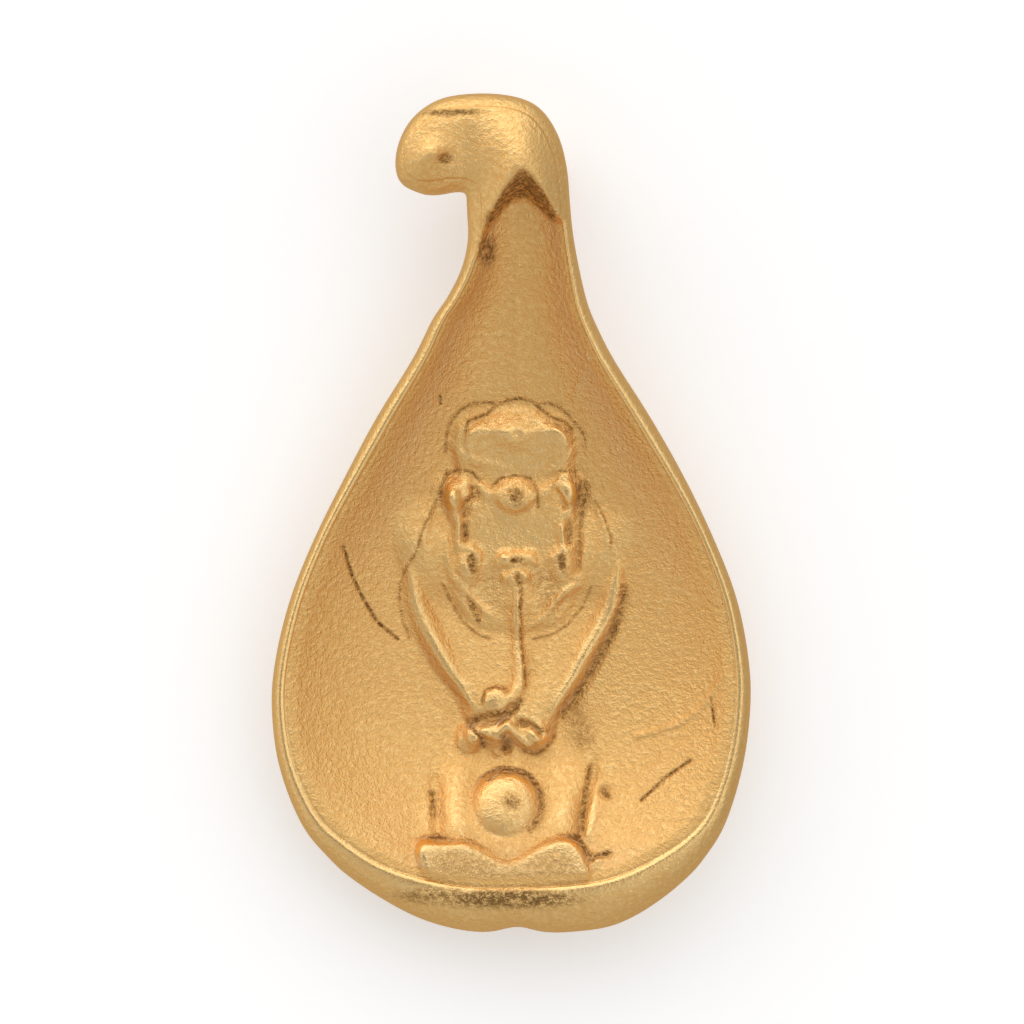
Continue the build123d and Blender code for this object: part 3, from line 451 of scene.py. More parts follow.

# Thin lines of painted shade along the animal's contours and in its hollows, and painted dark
# reflections at the middles of the balls, in the animal's units: how dark, half width, points
SHADE_AND_REFLECTION_LINES = [
    (0.7, 1.6, [(-70, 194), (-69, 212), (-64, 225), (-54, 236), (-42, 242), (-27, 243),
     (-18, 241)]),
    (0.7, 1.6, [(21, 242), (35, 242), (48, 236), (58, 225), (69, 211), (71, 199)]),
    (0.9, 1.6, [(-50, 214), (-47, 224), (-38, 228), (-29, 231), (-20, 239), (-9, 245), (4, 247),
     (17, 244), (26, 236), (37, 228), (50, 223), (57, 216)]),
    (0.7, 1.6, [(-75, 145), (-74, 159), (-69, 170), (-58, 175), (-45, 174), (-36, 165)]),
    (0.7, 1.6, [(-23, 159), (-14, 167), (0, 170), (15, 167), (22, 156), (23, 138)]),
    (0.6, 1.6, [(46, 174), (57, 174), (67, 163)]),
    (0.7, 4.0, [(72, 160), (70, 145), (67, 130)]),
    (0.5, 2.0, [(67, 130), (65, 115), (65, 97), (64, 79)]),
    (0.9, 2.2, [(-49, 145), (-38, 152)]),
    (0.9, 2.2, [(-51, 119), (-50, 104)]),
    (0.8, 2.2, [(56, 122), (55, 102)]),
    (1.0, 4.0, [(-44, 87), (-43, 75)]),
    (1.0, 4.0, [(47, 87), (48, 76)]),
    (0.9, 7.0, [(0, 150), (1, 146)]),
    (1.0, 3.0, [(-2, 84), (5, 84)]),
    (1.0, 3.0, [(3, 68), (4, 61)]),
    (0.8, 2.0, [(6, 56), (5, 33), (6, 0), (10, -30), (9, -44)]),
    (0.9, 2.5, [(-47, 44), (-41, 33), (-37, 23)]),
    (0.6, 1.6, [(-73, 60), (-64, 40), (-53, 22), (-38, 9), (-27, 5)]),
    (0.6, 1.6, [(77, 58), (67, 36), (52, 18), (34, 8), (19, 5)]),
    (0.6, 1.6, [(-69, 174), (-76, 152), (-84, 134), (-93, 115), (-100, 91), (-111, 75), (-116, 60),
     (-117, 38), (-111, 18), (-106, 5)]),
    (0.5, 1.6, [(81, 144), (90, 126), (97, 106), (96, 95)]),
    (0.7, 4.0, [(110, 56), (108, 38), (100, 14), (90, -6), (78, -26), (62, -52), (48, -72)]),
    (0.7, 1.6, [(-34, -60), (-30, -47), (-19, -43), (-8, -48)]),
    (0.8, 3.5, [(-46, -80), (-32, -74), (-17, -70), (-2, -69), (5, -58)]),
    (1.0, 1.8, [(-48, -81), (-43, -86), (-34, -95), (-32, -104)]),
    (0.8, 3.0, [(-13, -94), (-6, -101)]),
    (0.7, 2.0, [(2, -76), (14, -80), (24, -86), (32, -88)]),
    (0.7, 1.8, [(8, -107), (22, -112), (32, -104), (40, -93)]),
    (0.7, 1.8, [(-28, -138), (-14, -128), (6, -127), (20, -137), (27, -152)]),
    (0.7, 3.0, [(27, -160), (24, -176), (15, -188)]),
    (0.8, 3.0, [(75, -124), (71, -150), (67, -186)]),
    (1.0, 3.0, [(89, -148), (93, -154)]),
    (0.9, 2.5, [(74, -209), (77, -216)]),
    (0.9, 2.5, [(80, -213), (94, -210)]),
    (0.8, 3.0, [(-84, -150), (-82, -172)]),
    (0.7, 7.0, [(-5, -157), (-2, -159)]),
    (0.5, 4.0, [(25, -148), (27, -164), (22, -182)]),
    (0.35, 12.0, [(60, -62), (68, -96)]),
    (0.25, 13.0, [(29, 62), (34, 40)]),
    (0.2, 11.0, [(-24, 62), (-20, 46)]),
    (0.25, 24.0, [(-66, -222), (-8, -236), (52, -222)]),
]

# Places where light is reflected twice, painted a paler gold to offset the deeper colour of that
# bounce: the animal's steep slopes and the neck's walls
steep_start = 0.7  # slope at which a recess starts
steep_fade = 0.8  # and over which it builds up
neck_gain = 1.5  # how soon the leaf counts as narrow
neck_wall_low = 0.1  # wall share where the neck's painted paling starts
neck_wall_fade = 0.4  # and over which it builds up
neck_wall_high = 0.95  # wall share where it ends
neck_edge_fade = 0.15  # and over which it fades
neck_paling = 0.6  # how much of that painted paling it gets

# The gold. The attributes of its mesh:
LAYERS = ("polish", "pits_and_shade", "bounce_paling")
# Its colours: as cast, worn, painted paler where light is reflected twice, painted shade in
# crevices, scratches, along contours, in rough patches and in pits, and at a glancing angle
CAST_COLOUR = (0.89, 0.545, 0.195, 1.0)
WORN_COLOUR = (0.98, 0.655, 0.275, 1.0)
BOUNCE_PALE_COLOUR = (0.88, 0.645, 0.35, 1.0)
PITS_AND_SHADE_COLOUR = (0.34, 0.19, 0.065, 1.0)
EDGE_TINT = (0.92, 0.74, 0.52, 1.0)
# Its grain: scale, detail, roughness
COARSE_NOISE = (13000.0, 3.0, 0.65)
FINE_NOISE = (38000.0, 1.0, 0.5)
BROAD_NOISE = (1400.0, 3.0, 0.55)
coarse_share = 0.75  # the coarse grain's share in it
# How one measure turns into another: from low, from high, to low, to high
GRAIN_TO_WEAR = (0.42, 0.62, -0.35, 0.45)
GRAIN_TO_DARK = (0.43, 0.59, 1.25, 0.1)
WEAR_TO_ROUGHNESS = (0.0, 1.0, 0.5, 0.2)
BROAD_TO_ROUGHNESS = (0.3, 0.7, 0.9, 1.1)
PITS_AND_SHADE_TO_DEPTH = (0.0, 1.0, 0.00005, 0.00013)
pits_and_shade_wear = 0.6  # how much less worn the pitted places and those of painted shade are
casting_grain = 0.9  # how strong the bumps of the grain are
bail_grain = 0.2
polished_bump = 0.3  # their strength where polished, in shares of that
pits_and_shade_bump = 1.2  # and what pits and painted shade add

# The tent's light everywhere, then its panels: direction, cosines of the angles at which one
# fades in and is full, strength
tent_base = 0.77
TENT = [
    (-0.3, 0.9, 0.3, 0.48, 0.9, 1.05),
    (-0.97, 0.1, 0.1, 0.55, 0.95, 0.3),
    (0.62, 0.15, 0.78, 0.72, 0.98, 0.52),
    (-0.62, 0.05, 0.78, 0.76, 0.98, -0.28),
    (0.97, -0.1, 0.1, 0.6, 0.95, -0.2),
    (0.0, 0.02, 1.0, 0.93, 0.985, -0.37),
]

# The floor and the camera, in metres
floor_half = 0.6
view_width = 0.014664  # width of the picture at view_height
view_height = 0.0018  # where the photo's scale holds
view_middle = 0.0000143  # across and along
view_distance = 0.2  # from view_height up to the camera
sensor_width = 36.0  # in millimetres, as the lens

across_unit = figure_width / 266
along_unit = figure_length / 490
height_unit = figure_rise / 50
last_row = len(OUTLINE) - 1
neck_row = 15  # the section at the inner corner of the curl
foot_rows = 3  # sections over which the foot's curve fades into straight ones
tip_rows = 2  # sections over which the curl's end rounds off


# A smooth curve through values at rising keys
def curve(keys, values, at):
    at = np.clip(at, keys[0], keys[-1])
    slopes = np.gradient(values, keys)
    i = np.clip(np.searchsorted(keys, at, side="right") - 1, 0, len(keys) - 2)
    span = keys[i + 1] - keys[i]
    t = (at - keys[i]) / span
    start = values[i] * (1 + 2 * t) * (1 - t) ** 2 + slopes[i] * span * t * (1 - t) ** 2
    end = values[i + 1] * t * t * (3 - 2 * t) + slopes[i + 1] * span * t * t * (t - 1)
    return start + end


# A table's column along its first one
def read(table, column, at):
    return curve(table[:, 0], table[:, column], at)


def smooth_step(t):
    t = np.clip(t, 0.0, 1.0)
    return t * t * (3 - 2 * t)


# The higher of two heights, with a soft line where they meet
def soft_max(a, b, softness):
    gap = np.clip(softness - np.abs(a - b), 0, None)
    return np.maximum(a, b) + gap * gap / (4 * softness)


def closed_line(loop):
    return np.concatenate([loop, loop[:1]])


# How far along a line each of its points is
def path_along(line):
    return np.concatenate([[0], np.cumsum(np.hypot(*np.diff(line, axis=0).T))])


def even_steps(path, pitch):
    count = round(path[-1] / pitch)
    return np.arange(count) * path[-1] / count


# The share of a run at which it comes nearest to points, and how far they are from there
def nearest_on(x, y, x0, y0, x1, y1):
    run_x, run_y = x1 - x0, y1 - y0
    t = ((x - x0) * run_x + (y - y0) * run_y) / (run_x ** 2 + run_y ** 2)
    t = np.clip(t, 0, 1)
    return t, x - x0 - t * run_x, y - y0 - t * run_y


# The distance in plan from points to a line of points
def line_distance(x, y, line):
    nearest = np.full(np.shape(x), np.inf)
    for start, end in zip(line[:-1], line[1:]):
        t, away_x, away_y = nearest_on(x, y, *start, *end)
        nearest = np.minimum(nearest, away_x ** 2 + away_y ** 2)
    return np.sqrt(nearest)


def bell(steps, width):
    weights = np.exp(-(steps / width) ** 2 / 2)
    return weights / weights.sum()


# A closed line of points with its corners eased
def eased(loop, width):
    steps = np.arange(-bell_reach * width, bell_reach * width + 1)
    return sum(w * np.roll(loop, k, axis=0) for w, k in zip(bell(steps, width), steps))


def blurred(values, width):
    reach = bell_reach * width
    weights = bell(np.arange(-reach, reach + sample / 2, sample), width)
    for axis in (0, 1):
        padding = [(0, 0), (0, 0)]
        padding[axis] = (len(weights) // 2, len(weights) - 1 - len(weights) // 2)
        padded = np.pad(values, padding, mode="edge")
        total = np.zeros_like(values)
        for k, weight in enumerate(weights):
            part = [slice(None), slice(None)]
            part[axis] = slice(k, k + values.shape[axis])
            total += weight * padded[tuple(part)]
        values = total
    return values


def inside_loop(x, y, loop):
    inside = np.zeros(len(x), bool)
    for (x0, y0), (x1, y1) in zip(loop, np.roll(loop, -1, axis=0)):
        crossed = (y0 > y) != (y1 > y)
        inside[crossed] ^= x[crossed] < (x1 - x0) * (y[crossed] - y0) / (y1 - y0) + x0
    return inside


# Those of the points that lie inside a loop by more than a margin
def well_inside(x, y, loop, margin):
    keep = inside_loop(x, y, loop)
    x, y = x[keep], y[keep]
    keep = line_distance(x, y, closed_line(loop)) > margin
    return x[keep], y[keep]


# Where a section of the outline ends: left x, left y, right x and right y
def section_ends(row):
    sizes = (half_width, half_length, half_width, half_length)
    rows = np.arange(last_row + 1.0)
    return [curve(rows, OUTLINE[:, k], row) * size for k, size in enumerate(sizes)]


def back_height(y):
    return np.maximum(read(DEPTHS, 1, y / half_length) * neck_back, 0)


def floor_height(y):
    return back_height(y) + read(DEPTHS, 2, y / half_length) * leaf_wall


def edge_height(y):
    return floor_height(y) + read(DEPTHS, 3, y / half_length) * bowl_depth


# The polished edge is narrower where the leaf is narrow
def band_width(width):
    return rim_band * np.clip(width / (full_band_share * leaf_width), least_band_share, 1)


# A point in plan. across runs from -1 at a section's left end to 1 at its right end, and
# in_wall goes from 0 at the outline to 1 at the polished edge.
def plan(across, row, in_wall):
    left_x, left_y, right_x, right_y = section_ends(row)
    run_x, run_y = right_x - left_x, right_y - left_y
    width = np.hypot(run_x, run_y)
    left = rim_wall * in_wall * read(SIDES, 1, left_y / half_length)
    right = rim_wall * in_wall * read(SIDES, 2, right_y / half_length)
    left, right = np.minimum(left / width, most_side), np.minimum(right / width, most_side)
    t = left + (1 - left - right) * (across + 1) / 2
    foot_fade = np.clip(1 - row / foot_rows, 0, 1) ** 2
    foot_edge = read(FOOT, 1, across) - FOOT[0, 1]
    foot_pull = read(FOOT, 2, across) * foot_wall * in_wall
    notch = foot_notch * np.exp(-(across * width / foot_notch_width) ** 2) * (1 - in_wall)
    tip_fade = np.clip((row - last_row + tip_rows) / tip_rows, 0, 1) ** 2
    tip_bulge = (tip_round * (1 - across ** 2) - rim_wall * in_wall) * tip_fade
    x = left_x + run_x * t - run_y / width * tip_bulge
    y = left_y + run_y * t + run_x / width * tip_bulge
    return x, y + foot_fade * (foot_edge * half_length + foot_pull + notch)


# Across and row of evenly spaced places round the leaf, against the clock
def walk_round():
    across = np.concatenate([np.linspace(-1, 1, foot_samples), np.ones(side_samples),
                             np.linspace(1, -1, tip_samples), -np.ones(side_samples)])
    row = np.concatenate([np.zeros(foot_samples), np.linspace(0, last_row, side_samples),
                          np.full(tip_samples, last_row), np.linspace(last_row, 0, side_samples)])
    path = path_along(np.column_stack(plan(across, row, 1)))
    even = even_steps(path, edge_pitch)
    return np.interp(even, path, across), np.interp(even, path, row)


# The width between the polished edges at a place along the leaf
def leaf_width_at(y):
    left_x, left_y, right_x, right_y = section_ends(np.linspace(0, neck_row, section_samples))
    widths = right_x - left_x - 2 * rim_wall
    widths = np.concatenate([[widths.max()], widths])
    return np.interp(y, np.concatenate([[-half_length], (left_y + right_y) / 2]), widths)


# How far up the bowl's wall a point is: 0 in the middle, 1 at the edge
def wall_share(x, y):
    rows = np.linspace(0, neck_row, section_samples)
    left_x, left_y = plan(-1.0, rows, 1)
    right_x, right_y = plan(1.0, rows, 1)
    low, high = np.interp(y, left_y, left_x), np.interp(y, right_y, right_x)
    side = np.clip(np.abs(2 * (x - low) / (high - low) - 1), 0, 1)
    middle_x, middle_y = plan(np.linspace(-1, 1, foot_edge_samples), 0.0, 1)
    corner = np.searchsorted(rows, foot_rows)
    foot_x = np.concatenate([left_x[corner:0:-1], middle_x, right_x[1:corner]])
    foot_y = np.concatenate([left_y[corner:0:-1], middle_y, right_y[1:corner]])
    foot = np.clip(1 - (y - np.interp(x, foot_x, foot_y)) / foot_reach, 0, 1)
    return 1 - (1 - side ** side_power) * (1 - foot ** foot_power)


# How far a point is over the hood's face: 0 on the neck's floor, 1 on the curl
def hood_share(x, y):
    across, along = x / half_width, y / half_length
    low, high = (np.interp(across, HOOD[:, 0], HOOD[:, k]) for k in (1, 2))
    return smooth_step((along - low) / (high - low))


# The rounded curl with its swellings and hollows
def curl_height(x, y, edge_distance):
    rounding = 1 - np.clip(1 - edge_distance / curl_round, 0, 1) ** 2
    forms = np.zeros(np.shape(x))
    for across, along, length, width, turn, height in CURL_FORMS:
        aside = x / half_width - across
        ahead = (y - along * half_length) / half_width
        turned = np.radians(turn)
        first = (aside * np.cos(turned) + ahead * np.sin(turned)) / length
        second = (ahead * np.cos(turned) - aside * np.sin(turned)) / width
        forms = forms + height * np.exp(-first ** 2 - second ** 2)
    return edge_height(y) + (curl_rise + curl_swell * forms) * rounding


# The polished edge, the step down from it, the bowl, and the curl over them
def leaf_front(x, y, edge_distance):
    edge, floor = edge_height(y), floor_height(y)
    bands = edge_distance / band_width(leaf_width_at(y))
    bowl = floor + (edge - floor) * wall_share(x, y)
    bowl = bowl - rim_step * (1 - smooth_step(bands - step_bands))
    polished = edge - rim_step / 2 * np.clip(bands, 0, 1) ** 2
    dish = polished + (bowl - polished) * smooth_step((bands - drop_start) / drop_width)
    return dish + (curl_height(x, y, edge_distance) - dish) * hood_share(x, y)


def leaf_back(x, y):
    rise = (edge_height(y) - floor_height(y)) * read(DEPTHS, 4, y / half_length)
    return back_height(y) + rise * wall_share(x, y)


def figure_place(x, y):
    return (x - figure_x) / across_unit, (y - figure_y) / along_unit


# A mass's outline, evenly spaced and with its corners eased
def mass_outline(points):
    line = closed_line(np.array(points, float))
    path = path_along(line)
    even = even_steps(path, mass_pitch)
    loop = np.column_stack([np.interp(even, path, line[:, 0]), np.interp(even, path, line[:, 1])])
    return eased(loop, mass_ease)


# The height of a mass of the animal, in the units of its tables
def mass_height(across, along, edge, heights, outline):
    loop = mass_outline(outline)
    inside = inside_loop(across.ravel(), along.ravel(), loop).reshape(across.shape)
    depth = line_distance(across, along, closed_line(loop)) * inside
    shoulder = 1 - (1 - np.clip(depth / edge, 0, 1)) ** 2
    return read(np.array(heights, float), 1, along) * shoulder


# How far out of an oval a place is: 0 in its middle, 1 at its edge
def oval_share(across, along, u, v, half_u, half_v):
    return np.hypot((across - u) / half_u, (along - v) / half_v)


def dome_height(across, along, height, oval):
    near = oval_share(across, along, *oval)
    return height * np.clip(1 - near ** dome_power, 0, 1) ** dome_edge


# The height of a soft oval, or of a line that is higher where it is thicker
def form_height(across, along, height, points):
    if len(points) == 1:
        near = oval_share(across, along, *points[0])
    else:
        near = np.full(across.shape, np.inf)
        thick = np.ones(across.shape)
        for (u, v, radius), (u_end, v_end, radius_end) in zip(points[:-1], points[1:]):
            t, away_u, away_v = nearest_on(across, along, u, v, u_end, v_end)
            here = radius + (radius_end - radius) * t
            away = np.hypot(away_u, away_v) / here
            thick = np.where(away < near, here, thick)
            near = np.minimum(near, away)
        height = height * thick / max(radius for u, v, radius in points)
    return height * np.clip(1 - near ** 2, 0, 1) ** 2


# The animal's rise over the bowl's floor
def figure_rise_at(x, y):
    across, along = figure_place(x, y)
    total = np.zeros(x.shape)
    for edge, heights, outline in MASSES:
        total = soft_max(total, mass_height(across, along, edge, heights, outline), mass_blend)
    for height, *points in FORMS:
        total = total + form_height(across, along, height, points)
    for height, oval in DOMES:
        total = total + dome_height(across, along, height, oval)
    for (u, v, base, rise), diameter in ((BALL, ball_diameter), (PEARL, pearl_diameter)):
        half = (diameter / 2 / across_unit, diameter / 2 / along_unit)
        ball = dome_height(across, along, rise, (u, v) + half)
        level = base + (floor_height(figure_y + v * along_unit) - floor_height(y)) / height_unit
        total = np.where(ball > 0, soft_max(total, level + ball, ball_blend), total)
    return total * height_unit


# The columns and rows of an even grid round the animal, and its rise there
def relief_map():
    reach_x, reach_y = figure_width * map_reach[0], figure_length * map_reach[1]
    xs = np.arange(figure_x - reach_x, figure_x + reach_x, sample)
    ys = np.arange(figure_y - reach_y, figure_y + reach_y, sample)
    x, y = np.meshgrid(xs, ys, indexing="ij")
    return xs, ys, blurred(figure_rise_at(x, y), relief_smooth)


# A map's value at places between its samples
def read_map(xs, ys, values, x, y):
    column = np.clip((x - xs[0]) / sample, 0, len(xs) - map_end)
    line = np.clip((y - ys[0]) / sample, 0, len(ys) - map_end)
    i, j = column.astype(int), line.astype(int)
    right, up = column - i, line - j
    lower = values[i, j] * (1 - right) + values[i + 1, j] * right
    upper = values[i, j + 1] * (1 - right) + values[i + 1, j + 1] * right
    return lower * (1 - up) + upper * up


# The marks, with their points in millimetres
def marks():
    for height, width, line in MARKS:
        yield height, width, np.array(line) * (half_width, half_length)


def mark_height(x, y):
    total = np.zeros(x.shape)
    for height, width, line in marks():
        away = line_distance(x, y, line) / width
        total = total + height * np.exp(-away ** 2)
    return total


# Places beside the marks, closer than the floor's own
def mark_points():
    places = []
    for height, width, line in marks():
        path = path_along(line)
        steps = np.arange(0, path[-1] + mark_pitch, mark_pitch)
        middle = np.column_stack([np.interp(steps, path, line[:, k]) for k in (0, 1)])
        ahead = np.gradient(middle, axis=0)
        aside = np.column_stack([-ahead[:, 1], ahead[:, 0]])
        aside /= np.linalg.norm(aside, axis=1)[:, None]
        for share in mark_shares:
            places.append(middle + aside * width * share)
    return np.concatenate(places).T


# How rough the metal is, and how dark it is painted as painted shade, from 0 to 1, in the rough
# patches
def rough_shaded_patches(x, y):
    across, along = x / half_width, y / half_length
    total = np.zeros(x.shape)
    for u, v, half_u, half_v, most in ROUGH_SHADED_PATCHES:
        near = oval_share(across, along, u, v, half_u, half_v)
        total = np.maximum(total, most * smooth_step(patch_reach - near))
    return total


# Painted shade, from 0 to 1: in scratches by their depth, along the animal's contours and on the
# hood's steep face, with painted dark reflections on the balls
def painted_shade_lines(x, y):
    hooded = hood_share(x, y)
    # Painted shade on the hood's steep face
    total = smooth_step(hood_shade * np.minimum(hooded, 1 - hooded))
    # Scratches are painted darker the deeper they are: painted shade in grooves
    for height, width, line in marks():
        away = line_distance(x, y, line) / width
        total = np.maximum(total, np.clip(-height / scratch_shade, 0, 1) * np.exp(-away ** 2))
    across, along = figure_place(x, y)
    # Painted shade along the animal's contours and in its hollows, and painted dark reflections at
    # the middles of the balls
    for dark, width, line in SHADE_AND_REFLECTION_LINES:
        away = line_distance(across, along, line) / width
        total = np.maximum(total, dark * np.exp(-away ** 2))
    return total


def smoothness(x, y):
    across, along = figure_place(x, y)
    total = np.zeros(x.shape)
    for u, v, radius, smooth in SMOOTH:
        near = np.hypot(across - u, along - v) / radius
        total = np.maximum(total, smooth * smooth_step(smooth_edge * (1 - near)))
    return total


# Where the gold is painted paler to offset light reflected twice: the animal's steep slopes and
# the neck's walls
def bounce_paling_at(x, y, relief, hooded):
    xs, ys, rise = relief
    slope_x, slope_y = np.gradient(rise, sample)
    steep = read_map(xs, ys, blurred(np.hypot(slope_x, slope_y), relief_smooth), x, y)
    walled = wall_share(x, y)
    narrow = smooth_step(neck_gain * (1 - leaf_width_at(y) / leaf_width)) * (1 - hooded)
    on_wall = smooth_step((walled - neck_wall_low) / neck_wall_fade)
    below_edge = smooth_step((neck_wall_high - walled) / neck_edge_fade)
    beside = neck_paling * (narrow * on_wall * below_edge)
    return np.maximum(smooth_step((steep - steep_start) / steep_fade), beside)


# Points of the mesh, with how polished and how pitted the metal is there, how much shade is
# painted on it, and how much it is painted paler against light reflected twice
def mesh_part(x, y, height, polish, pits_and_shade=0.0, bounce_paling=0.0):
    layers = [np.zeros(len(x)) + layer for layer in (polish, pits_and_shade, bounce_paling)]
    return np.column_stack([x, y, height]), *layers


# The outer wall, in loops from the back up to the polished edge
def outer_wall(edge, outline, inset, on_foot):
    parts = []
    top = leaf_front(edge[:, 0], edge[:, 1], np.zeros(len(edge)))
    turn_in = inset / rim_band * back_turn
    low = leaf_back(*(edge + turn_in).T)
    for turn in np.linspace(1, 0, wall_loops + 1):
        out, side, foot = (read(WALL, k, turn) for k in (1, 2, 3))
        place = edge + (outline - edge) * max(out, 0) + turn_in * max(-out, 0)
        hooded = hood_share(*place.T)
        extra = curl_fall * (1 - max(1 - turn / curl_fall_turn, 0) ** 2) * (1 - turn)
        height = top + (low - top) * (side + (foot - side) * on_foot + extra * hooded)
        polish = hooded * curl_polish + (1 - hooded) * read(WALL_POLISH, 1, turn)
        parts.append(mesh_part(*place.T, height, polish, rough_shaded_patches(*place.T)))
    return parts


# The polished edge and the rim of the bowl, in loops from the edge inwards
def edge_rings(edge, inset, relief):
    parts = []
    for bands in edge_bands:
        place = edge + inset * bands
        distance = line_distance(*place.T, closed_line(edge))
        figure = read_map(*relief, *place.T) * smooth_step((bands - 1) / figure_fade)
        hooded = hood_share(*place.T)
        polish = hooded * curl_polish + (1 - hooded) * (1 - smooth_step(bands - polished_bands))
        parts.append(mesh_part(*place.T, leaf_front(*place.T, distance) + figure, polish,
                               rough_shaded_patches(*place.T)))
    return parts


# Places in plan at the corners of even triangles
def even_points(low, high, pitch):
    ys = np.arange(low[1], high[1], pitch * 0.75 ** 0.5)
    xs = np.arange(low[0], high[0], pitch)
    x, y = np.meshgrid(xs, ys)
    x[1::2] += pitch / 2
    return x.ravel(), y.ravel()


# Places inside the last ring: close together on the animal and beside the marks
def front_points(loop):
    reach = np.array([figure_width, figure_length]) * fine_reach
    middle = np.array([figure_x, figure_y])
    fine_x, fine_y = even_points(middle - reach, middle + reach, relief_pitch)
    x, y = even_points(loop.min(axis=0), loop.max(axis=0), floor_pitch)
    apart = np.maximum(np.abs(x - middle[0]) - reach[0], np.abs(y - middle[1]) - reach[1])
    x = np.concatenate([fine_x, x[apart > floor_margin]])
    y = np.concatenate([fine_y, y[apart > floor_margin]])
    x, y = well_inside(x, y, loop, floor_margin)
    marked_x, marked_y = mark_points()
    return np.concatenate([x, marked_x]), np.concatenate([y, marked_y])


# The bowl's floor and the curl, with the animal and the marks
def front_part(x, y, edge, relief):
    xs, ys, rise = relief
    figure = read_map(xs, ys, rise, x, y)
    height = leaf_front(x, y, line_distance(x, y, closed_line(edge))) + figure + mark_height(x, y)
    proud = read_map(xs, ys, rise - blurred(rise, worn_reach), x, y) / worn_height
    worn = np.clip(figure / worn_height, 0, 1) * np.clip(figure_polish + proud, 0, 1)
    worn = np.maximum(worn, smoothness(x, y))
    hooded = hood_share(x, y)
    # Crevices are painted dark: painted shade
    sunk = read_map(xs, ys, blurred(rise, crevice_reach) - rise, x, y) / crevice_depth
    crevice_shade = smooth_step(sunk - crevice_start)
    pits_and_shade = np.maximum.reduce([rough_shaded_patches(x, y), painted_shade_lines(x, y), crevice_shade])
    return mesh_part(x, y, height, hooded * curl_polish + (1 - hooded) * worn, pits_and_shade,
                     bounce_paling_at(x, y, relief, hooded))


# Triangles that fill a loop in plan over given inner points
def fill_loop(loop, x, y):
    points = [Vector(p) for p in loop] + [Vector(p) for p in zip(x, y)]
    count = len(loop)
    edges = [(k, (k + 1) % count) for k in range(count)]
    made = delaunay_2d_cdt(points, edges, [], only_inside, merge_distance)
    source = [group[0] for group in made[3]]
    faces = np.array([[source[v] for v in face] for face in made[2]])
    a, b, c = (np.array([p[:] for p in points])[faces[:, k]] for k in range(3))
    turn = (b[:, 0] - a[:, 0]) * (c[:, 1] - a[:, 1]) - (b[:, 1] - a[:, 1]) * (c[:, 0] - a[:, 0])
    faces[turn < 0] = faces[turn < 0][:, ::-1]
    return faces


def ring_faces(first, count):
    here = np.arange(count)
    ahead = (here + 1) % count
    return np.column_stack([here, ahead, ahead + count, here + count]) + first


def mesh_object(name, verts, faces):
    mesh = bpy.data.meshes.new(name)
    mesh.from_pydata([tuple(v) for v in np.asarray(verts) * millimetre], [], faces)
    mesh.validate()
    mesh.polygons.foreach_set("use_smooth", [True] * len(mesh.polygons))
    piece = bpy.data.objects.new(name, mesh)
    bpy.context.scene.collection.objects.link(piece)
    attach(piece, "root")
    return piece


def build_casting():
    across, row = walk_round()
    edge = eased(np.column_stack(plan(across, row, 1)), loop_ease)
    outline = eased(np.column_stack(plan(across, row, 0)), loop_ease)
    ahead = np.roll(edge, -turn_span, axis=0) - np.roll(edge, turn_span, axis=0)
    inset = eased(np.column_stack([-ahead[:, 1], ahead[:, 0]]), loop_ease)
    inset /= np.linalg.norm(inset, axis=1)[:, None]
    inset *= band_width(leaf_width_at(edge[:, 1]))[:, None]
    on_foot = np.clip(1 - row / foot_rows, 0, 1) ** 2
    relief = relief_map()

    parts = outer_wall(edge, outline, inset, on_foot) + edge_rings(edge, inset, relief)
    count = len(edge)
    rings = len(parts)
    faces = []
    for k in range(rings - 1):
        faces += ring_faces(k * count, count).tolist()

    # The front, inside the last loop
    loop = parts[-1][0][:, :2]
    x, y = front_points(loop)
    parts.append(front_part(x, y, edge, relief))
    faces += (fill_loop(loop, x, y) + (rings - 1) * count).tolist()

    # The back, inside the first loop
    loop = parts[0][0][:, :2]
    base = sum(len(part[0]) for part in parts)
    x, y = even_points(loop.min(axis=0), loop.max(axis=0), back_pitch)
    x, y = well_inside(x, y, loop, back_margin)
    filled = fill_loop(loop, x, y)[:, ::-1]
    faces += np.where(filled < count, filled, filled - count + base).tolist()
    parts.append(mesh_part(x, y, leaf_back(x, y), back_polish))

    verts, *layers = (np.concatenate(values) for values in zip(*parts))
    casting = mesh_object("casting_gold", verts, faces)
    for name, values in zip(LAYERS, layers):
        attribute = casting.data.attributes.new(name, "FLOAT", "POINT")
        attribute.data.foreach_set("value", values.astype(np.float32))
    return casting


# A node of a material or a light, with the values of its inputs
def add_node(tree, kind, values=None, **settings):
    node = tree.nodes.new(kind)
    for name, value in settings.items():
        setattr(node, name, value)
    for name, value in (values or {}).items():
        if isinstance(value, bpy.types.NodeSocket):
            tree.links.new(value, node.inputs[name])
        else:
            node.inputs[name].default_value = value
    return node


def spread(tree, value, low, high, to_low, to_high, **settings):
    return add_node(tree, "ShaderNodeMapRange", {"Value": value, "From Min": low, "From Max": high,
                                                 "To Min": to_low, "To Max": to_high},
                    **settings).outputs[0]


def empty_tree(block):
    block.use_nodes = True
    block.node_tree.nodes.clear()
    return block.node_tree


def add_surface(tree, values):
    shader = add_node(tree, "ShaderNodeBsdfPrincipled", values)
    add_node(tree, "ShaderNodeOutputMaterial", {"Surface": shader.outputs[0]})
